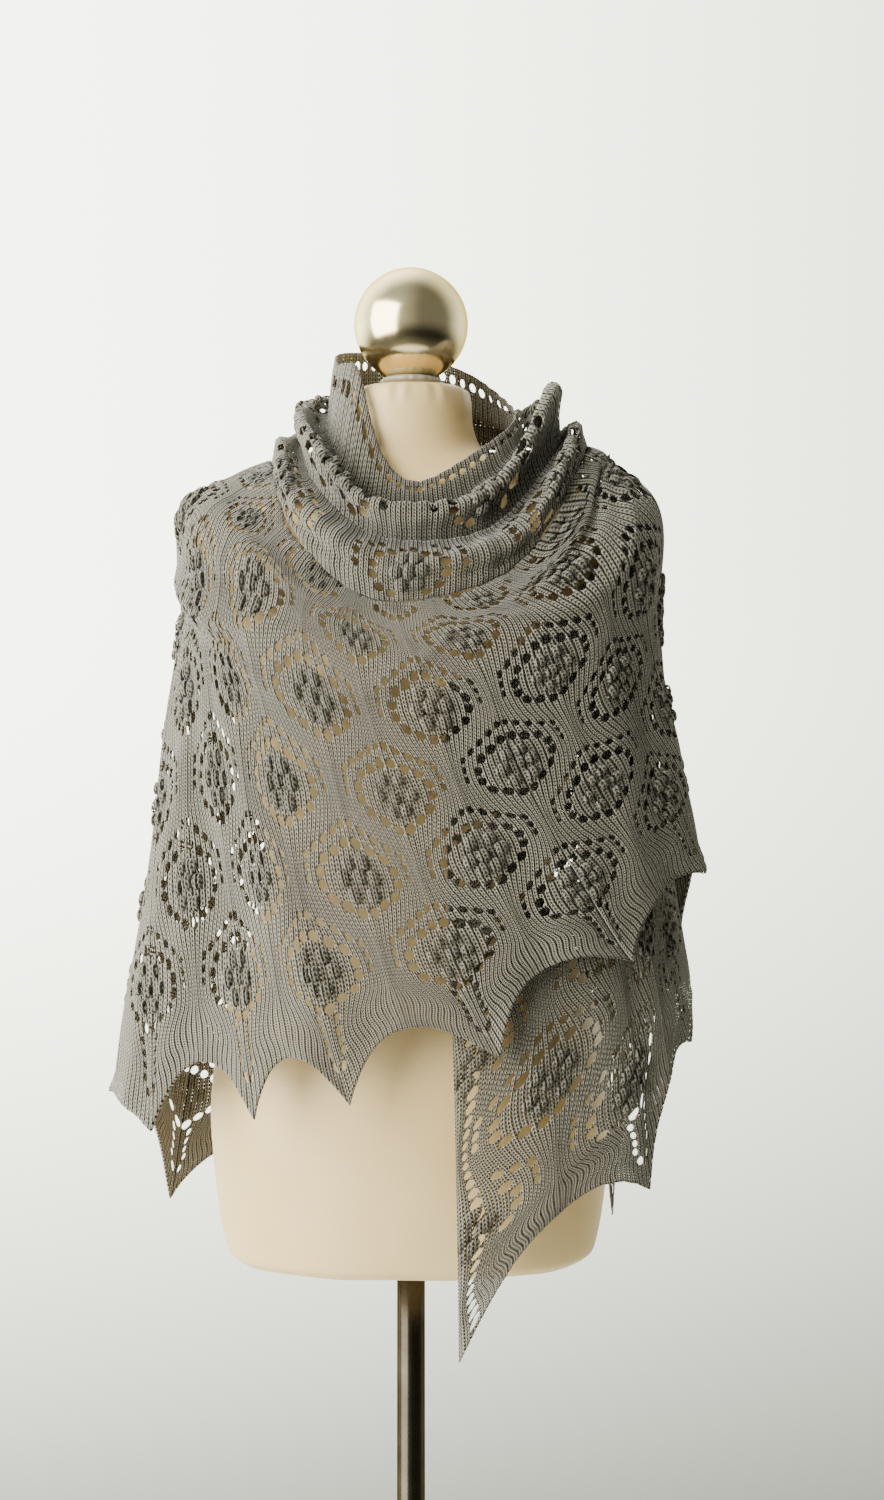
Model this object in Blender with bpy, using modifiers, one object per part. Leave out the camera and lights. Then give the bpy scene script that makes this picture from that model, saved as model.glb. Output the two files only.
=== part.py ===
"""Lace triangle shawl wound round a dress form on a stand.

Metres, +Z up. The front of the form faces -Y and the viewer's left is -X.
The origin is the middle of the stand's underside, on the floor.

The shawl is one knitted triangle, wound a turn and a third round the form: it starts as a wing
that hangs at the front right, passes the right side, the back and the left side, crosses the
front on top of itself, goes over the right shoulder and ends as a tail behind it. Its long edge
is gathered round the neck as a cowl of a collar and two rolls. Each stretch that shows is a node.
"""
import math

import bpy
import bmesh
from mathutils import Vector

WALL = 0.002
SEAM_GAP = 0.0004
HIDDEN_SEAM_GAP = 0.0020
LAYER_PITCH = 0.018
FORM_CLEARANCE = 0.0008

REPEAT_HEIGHT = 0.139
BOBBLE_RAISE = 0.006
RIB_RAISE = 0.0012

POLE_RADIUS = 0.013
BASE_RADIUS = 0.165
BASE_HEIGHT = 0.016
FORM_BOTTOM = 0.705
NECK_TOP = 1.512
BALL_RADIUS = 0.053
BALL_CENTRE_HEIGHT = 1.571
CAP_RADIUS = 0.028

# How far out and how high the inner face of the cloth hangs, from the neck line down.
# columns: half_width, front_reach, back_reach, side_height, front_height, back_height
SECTIONS = [
    (0.098, 0.108, 0.086, 1.4450, 1.338, 1.462),
    (0.145, 0.119, 0.101, 1.4310, 1.305, 1.432),
    (0.190, 0.128, 0.113, 1.4150, 1.268, 1.394),
    (0.214, 0.134, 0.119, 1.3860, 1.225, 1.345),
    (0.211, 0.138, 0.124, 1.3000, 1.165, 1.270),
    (0.222, 0.143, 0.130, 1.1900, 1.085, 1.180),
    (0.236, 0.149, 0.137, 1.0750, 1.005, 1.070),
    (0.256, 0.155, 0.146, 0.9550, 0.920, 0.955),
    (0.272, 0.161, 0.154, 0.8500, 0.830, 0.850),
    (0.286, 0.167, 0.162, 0.7200, 0.715, 0.720),
    (0.296, 0.172, 0.169, 0.5800, 0.580, 0.580),
]
SECTION_BULGE = 0.035
HIP_HALF_WIDTH = 0.250
HIP_HALF_DEPTH = 0.150

# The points of the scalloped hem, counted from the wing at the front right.
# columns: azimuth in degrees, 0 at the front and growing to the viewer's right; height;
# rise of the scallop between this point and the next; lean of the knitted column, run over rise
HEM_POINTS = [
    (8.5, 0.650, 0.055, 0.00),
    (47.0, 0.789, 0.034, 0.00),
    (69.0, 0.911, 0.030, 0.00),
    (108.0, 0.945, 0.042, 0.00),
    (143.0, 0.850, 0.042, 0.00),
    (174.0, 0.785, 0.042, 0.00),
    (203.0, 0.745, 0.042, 0.00),
    (232.0, 0.738, 0.046, 0.06),
    (276.0, 0.860, 0.012, 0.16),
    (309.0, 0.839, 0.044, 0.24),
    (332.6, 0.857, 0.040, 0.30),
    (349.7, 0.871, 0.046, 0.34),
    (376.8, 0.910, 0.046, 0.36),
    (405.5, 0.988, 0.030, 0.34),
    (435.0, 1.058, 0.022, 0.28),
    (462.0, 1.058, 0.040, 0.18),
    (478.0, 0.941, 0.036, 0.08),
    (492.0, 0.830, 0.030, 0.00),
    (500.5, 0.712, 0.030, 0.00),
]
SCALLOP_POWER = 2.2
SCALLOP_FADE = 0.6

# The knitted repeat: where its grid lines fall, in parts of a repeat.
WIDE_LINES = (0.0, 0.12, 0.22, 0.37, 0.5, 0.63, 0.78, 0.88)
CLOSE_LINES = (0.0, 0.17, 0.33, 0.5, 0.67, 0.83)
TAIL_LINES = (0.0, 0.34, 0.67)
ROW_LINES = (0.1, 0.3, 0.4, 0.6, 0.8, 0.9)
FIRST_CLUSTER_ROW = 0.7

# Soft folds that run down the cloth. Ridges are positive and troughs negative.
# columns: azimuth at the top, azimuth at the hem, drop where it starts, drop where it is full,
# half width, depth
FOLDS = [
    (283.0, 318.0, 0.16, 0.40, 0.030, -0.009),
    (305.0, 341.0, 0.12, 0.42, 0.028, 0.007),
    (268.0, 292.0, 0.18, 0.42, 0.030, 0.008),
    (240.0, 250.0, 0.15, 0.50, 0.040, -0.012),
    (210.0, 216.0, 0.12, 0.50, 0.045, 0.010),
    (186.0, 188.0, 0.10, 0.45, 0.045, -0.009),
    (160.0, 158.0, 0.12, 0.50, 0.045, 0.009),
    (126.0, 124.0, 0.15, 0.40, 0.040, -0.006),
    (390.0, 396.0, 0.20, 0.40, 0.040, 0.005),
    (438.0, 448.0, 0.12, 0.35, 0.030, -0.006),
    (455.0, 470.0, 0.12, 0.35, 0.030, 0.008),
]
# Swags that hang across the chest from the left shoulder to the cowl.
# columns: azimuth at the left, azimuth at the right, drop at the left, middle and right,
# half width, depth
SWAGS = [
    (276.0, 338.0, 0.150, 0.135, 0.035, 0.018, -0.007),
    (276.0, 345.0, 0.105, 0.080, 0.010, 0.020, 0.006),
]

# The stretches of the wound cloth: name, first and last hem point, drop of the upper edge,
# grid lines across
STRETCHES = [
    ("shawl_under_wing", 0.0, 2.0, 0.240, CLOSE_LINES),
    ("shawl_inner_side", 2.0, 4.0, 0.300, CLOSE_LINES),
    ("shawl_back_panel", 4.0, 7.0, 0.000, CLOSE_LINES),
    ("shawl_left_side", 7.0, 9.0, 0.000, CLOSE_LINES),
    ("shawl_front_left", 9.0, 11.0, 0.000, CLOSE_LINES),
    ("shawl_front_right", 11.0, 13.0, 0.000, WIDE_LINES),
    ("shawl_right_side", 13.0, 15.0, 0.000, CLOSE_LINES),
]
TAIL_FIRST = 15
TAIL_LAST = 18
TAIL_ROWS = 14
TAIL_ROWS_PER_EYELET = 3
TAIL_EYELET_INSET = 0.12
# The hidden upper parts of the inner turn, plain: name, first and last hem point,
# drop of the upper edge, drop of the lower edge
HIDDEN_STRETCHES = [
    ("shawl_under_wing_top", 0.0, 2.0, 0.110, 0.240),
    ("shawl_inner_side_top", 2.0, 4.0, 0.110, 0.300),
]
HIDDEN_ROWS = 6
DRAWN_DROP = 0.10
# Drops of the rows that every stretch shares over the curve of the shoulder
SHOULDER_DROPS = (0.15, 0.12, 0.09, 0.06, 0.03, 0.0)

# The loops of the cowl, from the edge of the collar down to the foot of the lower roll.
# rows: azimuth; columns: radius and height of the collar edge, the first hollow, the crest of
# the upper roll, the second hollow, the crest of the lower roll and its foot
COWL = [
    (0, (0.076, 1.417), (0.088, 1.392), (0.113, 1.388), (0.109, 1.362), (0.131, 1.335), (0.126, 1.307)),
    (40, (0.080, 1.440), (0.095, 1.410), (0.124, 1.410), (0.121, 1.378), (0.149, 1.364), (0.148, 1.338)),
    (75, (0.108, 1.503), (0.114, 1.460), (0.137, 1.483), (0.141, 1.448), (0.154, 1.462), (0.162, 1.447)),
    (110, (0.100, 1.499), (0.108, 1.472), (0.126, 1.480), (0.132, 1.463), (0.143, 1.470), (0.154, 1.459)),
    (145, (0.084, 1.540), (0.088, 1.500), (0.106, 1.506), (0.108, 1.480), (0.122, 1.484), (0.125, 1.468)),
    (180, (0.079, 1.555), (0.083, 1.514), (0.098, 1.517), (0.099, 1.486), (0.112, 1.489), (0.113, 1.471)),
    (215, (0.077, 1.556), (0.082, 1.514), (0.098, 1.516), (0.099, 1.484), (0.113, 1.486), (0.117, 1.466)),
    (250, (0.072, 1.548), (0.079, 1.500), (0.100, 1.502), (0.101, 1.468), (0.118, 1.470), (0.126, 1.451)),
    (285, (0.066, 1.530), (0.081, 1.472), (0.103, 1.480), (0.104, 1.449), (0.121, 1.453), (0.128, 1.436)),
    (312, (0.063, 1.507), (0.088, 1.438), (0.112, 1.448), (0.114, 1.414), (0.135, 1.397), (0.139, 1.372)),
    (335, (0.073, 1.446), (0.091, 1.403), (0.114, 1.403), (0.111, 1.375), (0.134, 1.350), (0.129, 1.318)),
]
COWL_COLUMNS = 36
# columns: name, first and last loop, rows, gap left free at the lower edge
COWL_BANDS = [
    ("cowl_collar", 0, 1, 3, 0.0003),
    ("cowl_upper_roll", 1, 3, 5, 0.0003),
    ("cowl_lower_roll", 3, 5, 5, 0.0030),
]
COWL_GAP = 0.0003

# The dress form: height, half width, front reach, back reach.
FORM_SECTIONS = [
    (0.7050, 0.150, 0.104, 0.098),
    (0.7085, 0.163, 0.114, 0.108),
    (0.7230, 0.172, 0.121, 0.115),
    (0.7800, 0.181, 0.128, 0.124),
    (0.8600, 0.185, 0.131, 0.131),
    (0.9500, 0.168, 0.121, 0.121),
    (1.0500, 0.134, 0.103, 0.098),
    (1.1400, 0.145, 0.112, 0.098),
    (1.2200, 0.168, 0.126, 0.104),
    (1.2900, 0.188, 0.115, 0.111),
    (1.3450, 0.2020, 0.097, 0.111),
    (1.3860, 0.2040, 0.084, 0.104),
    (1.4110, 0.1840, 0.074, 0.094),
    (1.4260, 0.1440, 0.065, 0.083),
    (1.4410, 0.0970, 0.059, 0.072),
    (1.4540, 0.0680, 0.056, 0.062),
    (1.4750, 0.0580, 0.055, 0.056),
    (1.4980, 0.0565, 0.055, 0.055),
    (1.5080, 0.0530, 0.052, 0.052),
    (1.5120, 0.0440, 0.043, 0.043),
]
FORM_SEGMENTS = 28
FORM_BULGE = 0.04

COLOURS = {
    "yarn": ((0.235, 0.222, 0.200, 1.0), 0.85, 0.0),
    "form cloth": ((0.80, 0.68, 0.50, 1.0), 0.55, 0.0),
    "brass": ((0.72, 0.60, 0.42, 1.0), 0.22, 1.0),
    "dark metal": ((0.10, 0.09, 0.08, 1.0), 0.30, 1.0),
}

ARC_STEPS = 720
PROFILE_STEPS = 100


def catmull(values, place):
    """Smooth value of an evenly spaced list at a place counted in its rows."""
    last = len(values) - 1
    place = min(max(place, 0.0), float(last))
    row = min(int(place), last - 1)
    part = place - row
    before = values[max(row - 1, 0)]
    start = values[row]
    end = values[row + 1]
    after = values[min(row + 2, last)]
    slope_start = (end - before) / 2
    slope_end = (after - start) / 2
    bend = 2 * start - 2 * end + slope_start + slope_end
    curve = -3 * start + 3 * end - 2 * slope_start - slope_end
    return ((bend * part + curve) * part + slope_start) * part + start


def smooth_step(value, low, high):
    """0 below low, 1 above high, and a smooth ramp between them."""
    part = min(max((value - low) / (high - low), 0.0), 1.0)
    return part * part * (3 - 2 * part)


def build_arc_table():
    """Length round the hip oval from the front to each step of one turn."""
    lengths = [0.0]
    turn = 2 * math.pi
    for step in range(ARC_STEPS):
        middle = turn * (step + 0.5) / ARC_STEPS
        rate = math.hypot(HIP_HALF_WIDTH * math.cos(middle), HIP_HALF_DEPTH * math.sin(middle))
        lengths.append(lengths[-1] + rate * turn / ARC_STEPS)
    return lengths


ARC_TABLE = build_arc_table()


def arc_of(azimuth):
    """Length round the hip from the front to an azimuth in degrees, over several turns."""
    turns, rest = divmod(azimuth, 360.0)
    place = rest / 360.0 * ARC_STEPS
    step = min(int(place), ARC_STEPS - 1)
    low, high = ARC_TABLE[step], ARC_TABLE[step + 1]
    return turns * ARC_TABLE[-1] + low + (high - low) * (place - step)


def azimuth_of(arc):
    """The azimuth in degrees at a length round the hip."""
    turns, rest = divmod(arc, ARC_TABLE[-1])
    low, high = 0, ARC_STEPS
    while high - low > 1:
        middle = (low + high) // 2
        if ARC_TABLE[middle] <= rest:
            low = middle
        else:
            high = middle
    part = (rest - ARC_TABLE[low]) / (ARC_TABLE[low + 1] - ARC_TABLE[low])
    return 360.0 * (turns + (low + part) / ARC_STEPS)


SECTION_COLUMNS = [list(column) for column in zip(*SECTIONS)]
FORM_COLUMNS = [list(column) for column in zip(*FORM_SECTIONS)]


def section_point(azimuth, station):
    """Point of the cloth's plain inner face at an azimuth and a row of the section table."""
    half_width, front, back, side_height, front_height, back_height = (
        catmull(column, station) for column in SECTION_COLUMNS)
    angle = math.radians(azimuth)
    side = math.sin(angle)
    ahead = math.cos(angle)
    bulge = 1 + SECTION_BULGE * math.sin(2 * angle) ** 2
    towards = smooth_step(ahead, -0.6, 0.6)
    reach = back + (front - back) * towards
    end_height = back_height + (front_height - back_height) * towards
    height = side_height * side * side + end_height * ahead * ahead
    return Vector((half_width * side * bulge, -reach * ahead * bulge, height))


PROFILES = {}


def profile_lengths(azimuth):
    """Drop from the neck line to each step down the section table, and the heights there."""
    key = round((azimuth % 360.0) * 2)
    if key not in PROFILES:
        rows = len(SECTIONS) - 1
        point = section_point(key / 2, 0.0)
        lengths = [0.0]
        heights = [point.z]
        for step in range(1, PROFILE_STEPS + 1):
            after = section_point(key / 2, rows * step / PROFILE_STEPS)
            lengths.append(lengths[-1] + (after - point).length)
            heights.append(after.z)
            point = after
        PROFILES[key] = (lengths, heights)
    return PROFILES[key]


def station_at_drop(azimuth, drop):
    """The row of the section table at a drop below the neck line."""
    lengths, _ = profile_lengths(azimuth)
    rows = len(SECTIONS) - 1
    low, high = 0, PROFILE_STEPS
    while high - low > 1:
        middle = (low + high) // 2
        if lengths[middle] <= drop:
            low = middle
        else:
            high = middle
    part = (drop - lengths[low]) / (lengths[high] - lengths[low])
    return rows * (low + part) / PROFILE_STEPS


def drop_at_height(azimuth, height):
    """The drop below the neck line at which the cloth is at a height."""
    lengths, heights = profile_lengths(azimuth)
    for step in range(PROFILE_STEPS):
        if heights[step + 1] <= height:
            part = (heights[step] - height) / (heights[step] - heights[step + 1])
            return lengths[step] + part * (lengths[step + 1] - lengths[step])
    return lengths[-1]


def form_reach(columns, place, ahead):
    """Half width, reach towards a side and height of the form's skin at a row of its table."""
    height, half_width, front, back = (catmull(column, place) for column in columns)
    return half_width, back + (front - back) * smooth_step(ahead, -0.6, 0.6), height


def form_point(azimuth, place):
    """Point of the dress form's skin at an azimuth and a row of its table."""
    angle = math.radians(azimuth)
    side = math.sin(angle)
    ahead = math.cos(angle)
    half_width, reach, height = form_reach(FORM_COLUMNS, place, ahead)
    bulge = 1 + FORM_BULGE * math.sin(2 * angle) ** 2
    return Vector((half_width * side * bulge, -reach * ahead * bulge, height))


def form_share(point):
    """How far out a point is from the form's axis, as a share of the skin's own reach."""
    heights = FORM_COLUMNS[0]
    if point.z >= heights[-1]:
        return 9.0
    row = max(index for index in range(len(heights) - 1) if heights[index] <= max(point.z, heights[0]))
    place = row + (point.z - heights[row]) / (heights[row + 1] - heights[row])
    angle = math.atan2(point.x, -point.y)
    half_width, reach, _ = form_reach(FORM_COLUMNS, place, math.cos(angle))
    side = point.x / half_width
    ahead = point.y / reach
    length = math.hypot(side, ahead)
    double = 2 * side * ahead / max(length * length, 1e-9)
    return length / (1 + FORM_BULGE * double * double)


def clear_of_form(point):
    """Move a point out until it lies just off the form's skin, where the cloth rests on it."""
    step = 0.0005
    for _ in range(4):
        share = form_share(point)
        slope = Vector([form_share(point + axis) - form_share(point - axis) for axis in (
            Vector((step, 0, 0)), Vector((0, step, 0)), Vector((0, 0, step)))]) / (2 * step)
        steepness = slope.length
        if steepness < 1.0 or share > 3.0:
            break
        short = FORM_CLEARANCE - (share - 1) / steepness
        if short <= 0:
            break
        point = point + slope / steepness * short
    return point


def layer_offset(azimuth):
    """How far the winding stands out: the second turn lies over the first."""
    return LAYER_PITCH * smooth_step(azimuth, 262.0, 352.0)


def fold_depth(azimuth, drop):
    """Sum of the folds and swags at a place on the cloth."""
    depth = 0.0
    here = arc_of(azimuth)
    for top, bottom, start, full, half_width, height in FOLDS:
        part = smooth_step(drop, start, full)
        line = arc_of(top + (bottom - top) * part)
        depth += height * part * math.exp(-((here - line) / half_width) ** 2)
    for left, right, drop_left, drop_middle, drop_right, half_width, height in SWAGS:
        part = (azimuth - left) / (right - left)
        if 0.0 < part < 1.0:
            low = 2 * drop_middle - (drop_left + drop_right) / 2
            curve = (1 - part) ** 2 * drop_left + 2 * part * (1 - part) * low + part ** 2 * drop_right
            window = math.sin(math.pi * part) ** 0.5
            depth += height * window * math.exp(-((drop - curve) / half_width) ** 2)
    return depth


def cloth_normal(azimuth, drop):
    """The way the cloth faces, without its folds."""
    station = station_at_drop(azimuth, drop)
    across = section_point(azimuth + 1.0, station) - section_point(azimuth - 1.0, station)
    low = min(station + 0.05, len(SECTIONS) - 1)
    high = max(station - 0.05, 0.0)
    upward = section_point(azimuth, high) - section_point(azimuth, low)
    return across.cross(upward).normalized()


def cloth_point(azimuth, drop, lift):
    """Point of the draped cloth: on its layer and folds, clear of the form, then lifted."""
    normal = cloth_normal(azimuth, drop)
    stand = layer_offset(azimuth) + fold_depth(azimuth, drop)
    point = section_point(azimuth, station_at_drop(azimuth, drop)) + normal * stand
    return clear_of_form(point) + normal * lift


def drawn_point(azimuth, drop, lift):
    """Point of the cloth whose upper edge is drawn to the foot of the cowl."""
    pull = 1 - smooth_step(drop, 0.0, DRAWN_DROP)
    if pull == 0:
        return cloth_point(azimuth, drop, lift)
    foot = len(COWL[0]) - 2
    point = cloth_point(azimuth, drop, 0.0)
    point += (cowl_loop(foot, azimuth) - cloth_point(azimuth, 0.0, 0.0)) * pull
    facing = cloth_normal(azimuth, drop).lerp(cowl_normal(azimuth, foot), pull).normalized()
    return clear_of_form(point) + facing * lift


def seam_turn(azimuth, drop, distance):
    """Degrees to turn round the cloth for a distance along it."""
    rate = (cloth_point(azimuth + 0.5, drop, 0.0) - cloth_point(azimuth - 0.5, drop, 0.0)).length
    return distance / rate


def hem_value(column, place):
    """Value of one column of the hem table, straight between its points."""
    row = min(int(place), len(HEM_POINTS) - 2)
    part = place - row
    return HEM_POINTS[row][column] * (1 - part) + HEM_POINTS[row + 1][column] * part


def hem_arc(place):
    """Length round the hip to a place counted in hem points."""
    row = min(int(place), len(HEM_POINTS) - 2)
    part = place - row
    return arc_of(HEM_POINTS[row][0]) * (1 - part) + arc_of(HEM_POINTS[row + 1][0]) * part


def scallop_rise(place):
    """How far the hem rises above the line through its points."""
    row = min(int(place), len(HEM_POINTS) - 2)
    part = place - row
    return HEM_POINTS[row][2] * (1 - abs(2 * part - 1) ** SCALLOP_POWER)


def hem_drop(place):
    """Drop of the line through the hem points."""
    return drop_at_height(azimuth_of(hem_arc(place)), hem_value(1, place))


def column_place(place, drop):
    """Azimuth of a knitted column at a drop: the columns lean, and meet the hem at their place."""
    above = hem_drop(place) - drop
    return azimuth_of(hem_arc(place) - hem_value(3, place) * above)


def row_drop(place, row):
    """Drop of a knitted row, counted in repeats up from the hem."""
    fade = max(0.0, 1 - row / SCALLOP_FADE)
    return hem_drop(place) - row * REPEAT_HEIGHT - scallop_rise(place) * fade


def lattice_lines(lines, first, last):
    """The grid lines of the repeat that lie between two places."""
    found = []
    for repeat in range(int(first) - 1, int(last) + 1):
        for line in lines:
            if first + 0.02 < repeat + line < last - 0.02:
                found.append(repeat + line)
    return [first] + found + [last]


def cluster_distance(place, row):
    """Distance in repeats, across and up, from the nearest bobble cluster."""
    best = (9.0, 9.0)
    for shift in (0.0, 0.5):
        across = place - shift - round(place - shift)
        up = row - FIRST_CLUSTER_ROW - shift
        up -= round(up)
        if abs(across) + abs(up) < abs(best[0]) + abs(best[1]):
            best = (across, up)
    return best


def stretch_rows(first, last, top_drops):
    """Rows of a stretch: lines of the repeat up to its shortest column, then even steps."""
    places = [first + (last - first) * step / 12 for step in range(13)]
    reach = [(hem_drop(place) - top_drops[0]) / REPEAT_HEIGHT for place in places]
    aligned = lattice_lines(ROW_LINES, 0.0, min(reach) - 0.05)[:-1]
    filler = max(1, math.ceil((max(reach) - aligned[-1]) * len(ROW_LINES) * 0.7))
    return aligned, filler


def grid_chart(columns, row_count):
    """A flat grid of faces, and each of its vertices with its column and row number."""
    chart = bmesh.new()
    across = len(columns) - 1
    bmesh.ops.create_grid(chart, x_segments=across, y_segments=row_count, size=0.5)
    steps = [(vertex, round((vertex.co.x + 0.5) * across), round((vertex.co.y + 0.5) * row_count))
             for vertex in chart.verts]
    return chart, steps


def flat_stretch(first, last, top_drops, lines):
    """The stretch as a flat chart: x is the place along the hem, y the row, z what is raised."""
    columns = lattice_lines(lines, first, last)
    aligned, filler = stretch_rows(first, last, top_drops)
    chart, steps = grid_chart(columns, len(aligned) + filler + len(top_drops) - 2)
    for vertex, step_x, step_y in steps:
        place = columns[step_x]
        above = step_y - len(aligned) + 1
        if above <= 0:
            row = aligned[step_y]
        elif above < filler:
            full = (hem_drop(place) - top_drops[0]) / REPEAT_HEIGHT
            row = aligned[-1] + (full - aligned[-1]) * above / filler
        else:
            row = (hem_drop(place) - top_drops[above - filler]) / REPEAT_HEIGHT
        vertex.co = (place, row, rib_raise(place, row))
    cut_lace(chart, first, last, aligned[-1])
    return chart


def rib_raise(place, row):
    """The spine that runs down between two clusters is raised a little."""
    across, up = cluster_distance(place, row)
    if row > 0.3 and abs(across) < 0.02 and abs(up) > 0.15:
        return RIB_RAISE
    return 0.0


def cut_lace(chart, first, last, top_row):
    """Cut the eyelets beside each cluster and raise its bobbles."""
    holes = []
    bosses = []
    for face in chart.faces:
        middle = face.calc_center_median()
        if not 0.35 < middle.y < top_row:
            continue
        across, up = cluster_distance(middle.x, middle.y)
        edge = min(middle.x - first, last - middle.x)
        if 0.12 < abs(across) < 0.34 and 0.10 < up < 0.20 and edge > 0.15:
            holes.append(face)
        if abs(across) < 0.18 and abs(up) < 0.10:
            bosses.append(face)
    bmesh.ops.delete(chart, geom=holes, context="FACES")
    poked = bmesh.ops.poke(chart, faces=bosses)
    for vertex in poked["verts"]:
        vertex.co.z = BOBBLE_RAISE


def make_material(name):
    """A Principled material for one of the finishes."""
    material = bpy.data.materials.get(name)
    if material is None:
        colour, roughness, metallic = COLOURS[name]
        material = bpy.data.materials.new(name)
        material.use_nodes = True
        shader = material.node_tree.nodes["Principled BSDF"]
        shader.inputs["Base Color"].default_value = colour
        shader.inputs["Roughness"].default_value = roughness
        shader.inputs["Metallic"].default_value = metallic
        material.diffuse_color = colour
    return material


def add_object(collection, name, mesh, material):
    """Link a finished mesh as a named sub-part."""
    obj = bpy.data.objects.new(name, mesh)
    mesh.materials.clear()
    mesh.materials.append(make_material(material))
    mesh.shade_smooth()
    collection.objects.link(obj)
    return obj


def wall_from_chart(collection, name, chart, place_point, material="yarn"):
    """Thicken a flat chart with Solidify, then lay both faces of the wall in place."""
    mesh = bpy.data.meshes.new(name)
    chart.to_mesh(mesh)
    chart.free()
    flat = [vertex.co.copy() for vertex in mesh.vertices]
    obj = add_object(collection, name, mesh, material)
    solidify = obj.modifiers.new("Wall", "SOLIDIFY")
    solidify.thickness = WALL
    solidify.offset = -1.0
    solidify.use_even_offset = False
    graph = bpy.context.evaluated_depsgraph_get()
    walled = bpy.data.meshes.new_from_object(obj.evaluated_get(graph))
    obj.modifiers.clear()
    obj.data = walled
    bpy.data.meshes.remove(mesh)
    walled.name = name
    for index, vertex in enumerate(walled.vertices):
        source = flat[index % len(flat)]
        lift = WALL + source.z if index < len(flat) else 0.0
        vertex.co = place_point(source.x, source.y, lift)
    walled.shade_smooth()
    return obj


def seamed_azimuth(place, first, last, drop, gap=SEAM_GAP):
    """Azimuth of a place on a stretch, with half a seam's gap at its two ends."""
    azimuth = column_place(place, drop)
    if place == first:
        azimuth += seam_turn(azimuth, drop, gap / 2)
    if place == last:
        azimuth -= seam_turn(azimuth, drop, gap / 2)
    return azimuth


def build_stretch(collection, name, first, last, top_drop, lines):
    """One stretch of the wound shawl, from its hem to its upper edge."""
    top_drops = (top_drop,) if top_drop > 0 else SHOULDER_DROPS
    chart = flat_stretch(first, last, top_drops, lines)

    def place_point(place, row, lift):
        drop = row_drop(place, row)
        azimuth = seamed_azimuth(place, first, last, drop)
        if top_drop > 0:
            return cloth_point(azimuth, drop, lift)
        return drawn_point(azimuth, drop, lift)

    return wall_from_chart(collection, name, chart, place_point)


def build_tail(collection):
    """The wing that ends behind the right shoulder: its hem runs down its side."""
    columns = lattice_lines(TAIL_LINES, TAIL_FIRST, TAIL_LAST)
    chart, steps = grid_chart(columns, TAIL_ROWS + len(SHOULDER_DROPS) - 1)
    for vertex, step_x, step_y in steps:
        vertex.co = (columns[step_x], step_y, 0.0)
    eyelets = []
    for face in chart.faces:
        middle = face.calc_center_median()
        middle_cell = abs(middle.x - math.floor(middle.x) - 0.5) < 0.1
        low_enough = middle.y < TAIL_ROWS - 1
        if middle_cell and low_enough and int(middle.y) % TAIL_ROWS_PER_EYELET == 1:
            eyelets.append(face)
    bmesh.ops.inset_individual(chart, faces=eyelets, thickness=TAIL_EYELET_INSET, use_even_offset=True)
    bmesh.ops.delete(chart, geom=eyelets, context="FACES")

    def place_point(place, row, lift):
        if row < TAIL_ROWS:
            hem = row_drop(place, 0.0)
            drop = hem + (SHOULDER_DROPS[0] - hem) * row / TAIL_ROWS
        else:
            drop = SHOULDER_DROPS[round(row) - TAIL_ROWS]
        return drawn_point(seamed_azimuth(place, TAIL_FIRST, TAIL_LAST, drop), drop, lift)

    return wall_from_chart(collection, "shawl_back_tail", chart, place_point)


def build_hidden_stretch(collection, name, first, last, top_drop, low_drop):
    """A plain stretch of the inner turn, under the cloth that crosses over it."""
    columns = lattice_lines(CLOSE_LINES, first, last)
    chart, steps = grid_chart(columns, HIDDEN_ROWS)
    for vertex, step_x, step_y in steps:
        vertex.co = (columns[step_x], step_y, 0.0)

    def place_point(place, row, lift):
        drop = low_drop - SEAM_GAP + row / HIDDEN_ROWS * (top_drop - low_drop + SEAM_GAP)
        azimuth = seamed_azimuth(place, first, last, drop, HIDDEN_SEAM_GAP)
        return cloth_point(azimuth, drop, lift)

    return wall_from_chart(collection, name, chart, place_point)


def cowl_loop(loop, azimuth):
    """Point on one loop of the cowl, smooth round the ring."""
    angles = [row[0] for row in COWL]
    azimuth = azimuth % 360.0
    count = len(COWL)
    row = max(index for index in range(count) if angles[index] <= azimuth)
    after = angles[(row + 1) % count] + (360 if row + 1 == count else 0)
    part = (azimuth - angles[row]) / (after - angles[row])
    values = []
    for column in (0, 1):
        ring = [COWL[(row + shift) % count][1 + loop][column] for shift in (-1, 0, 1, 2)]
        values.append(catmull(ring, 1 + part))
    angle = math.radians(azimuth)
    return Vector((values[0] * math.sin(angle), -values[0] * math.cos(angle), values[1]))


def cowl_plain(azimuth, place):
    """Point of the cowl's inner face between its loops."""
    points = [cowl_loop(loop, azimuth) for loop in range(len(COWL[0]) - 1)]
    return Vector([catmull([point[axis] for point in points], place) for axis in range(3)])


def cowl_normal(azimuth, place):
    """The way the cowl faces at a place between its loops."""
    across = cowl_plain(azimuth + 1.5, place) - cowl_plain(azimuth - 1.5, place)
    upward = cowl_plain(azimuth, place - 0.08) - cowl_plain(azimuth, place + 0.08)
    return across.cross(upward).normalized()


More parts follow.
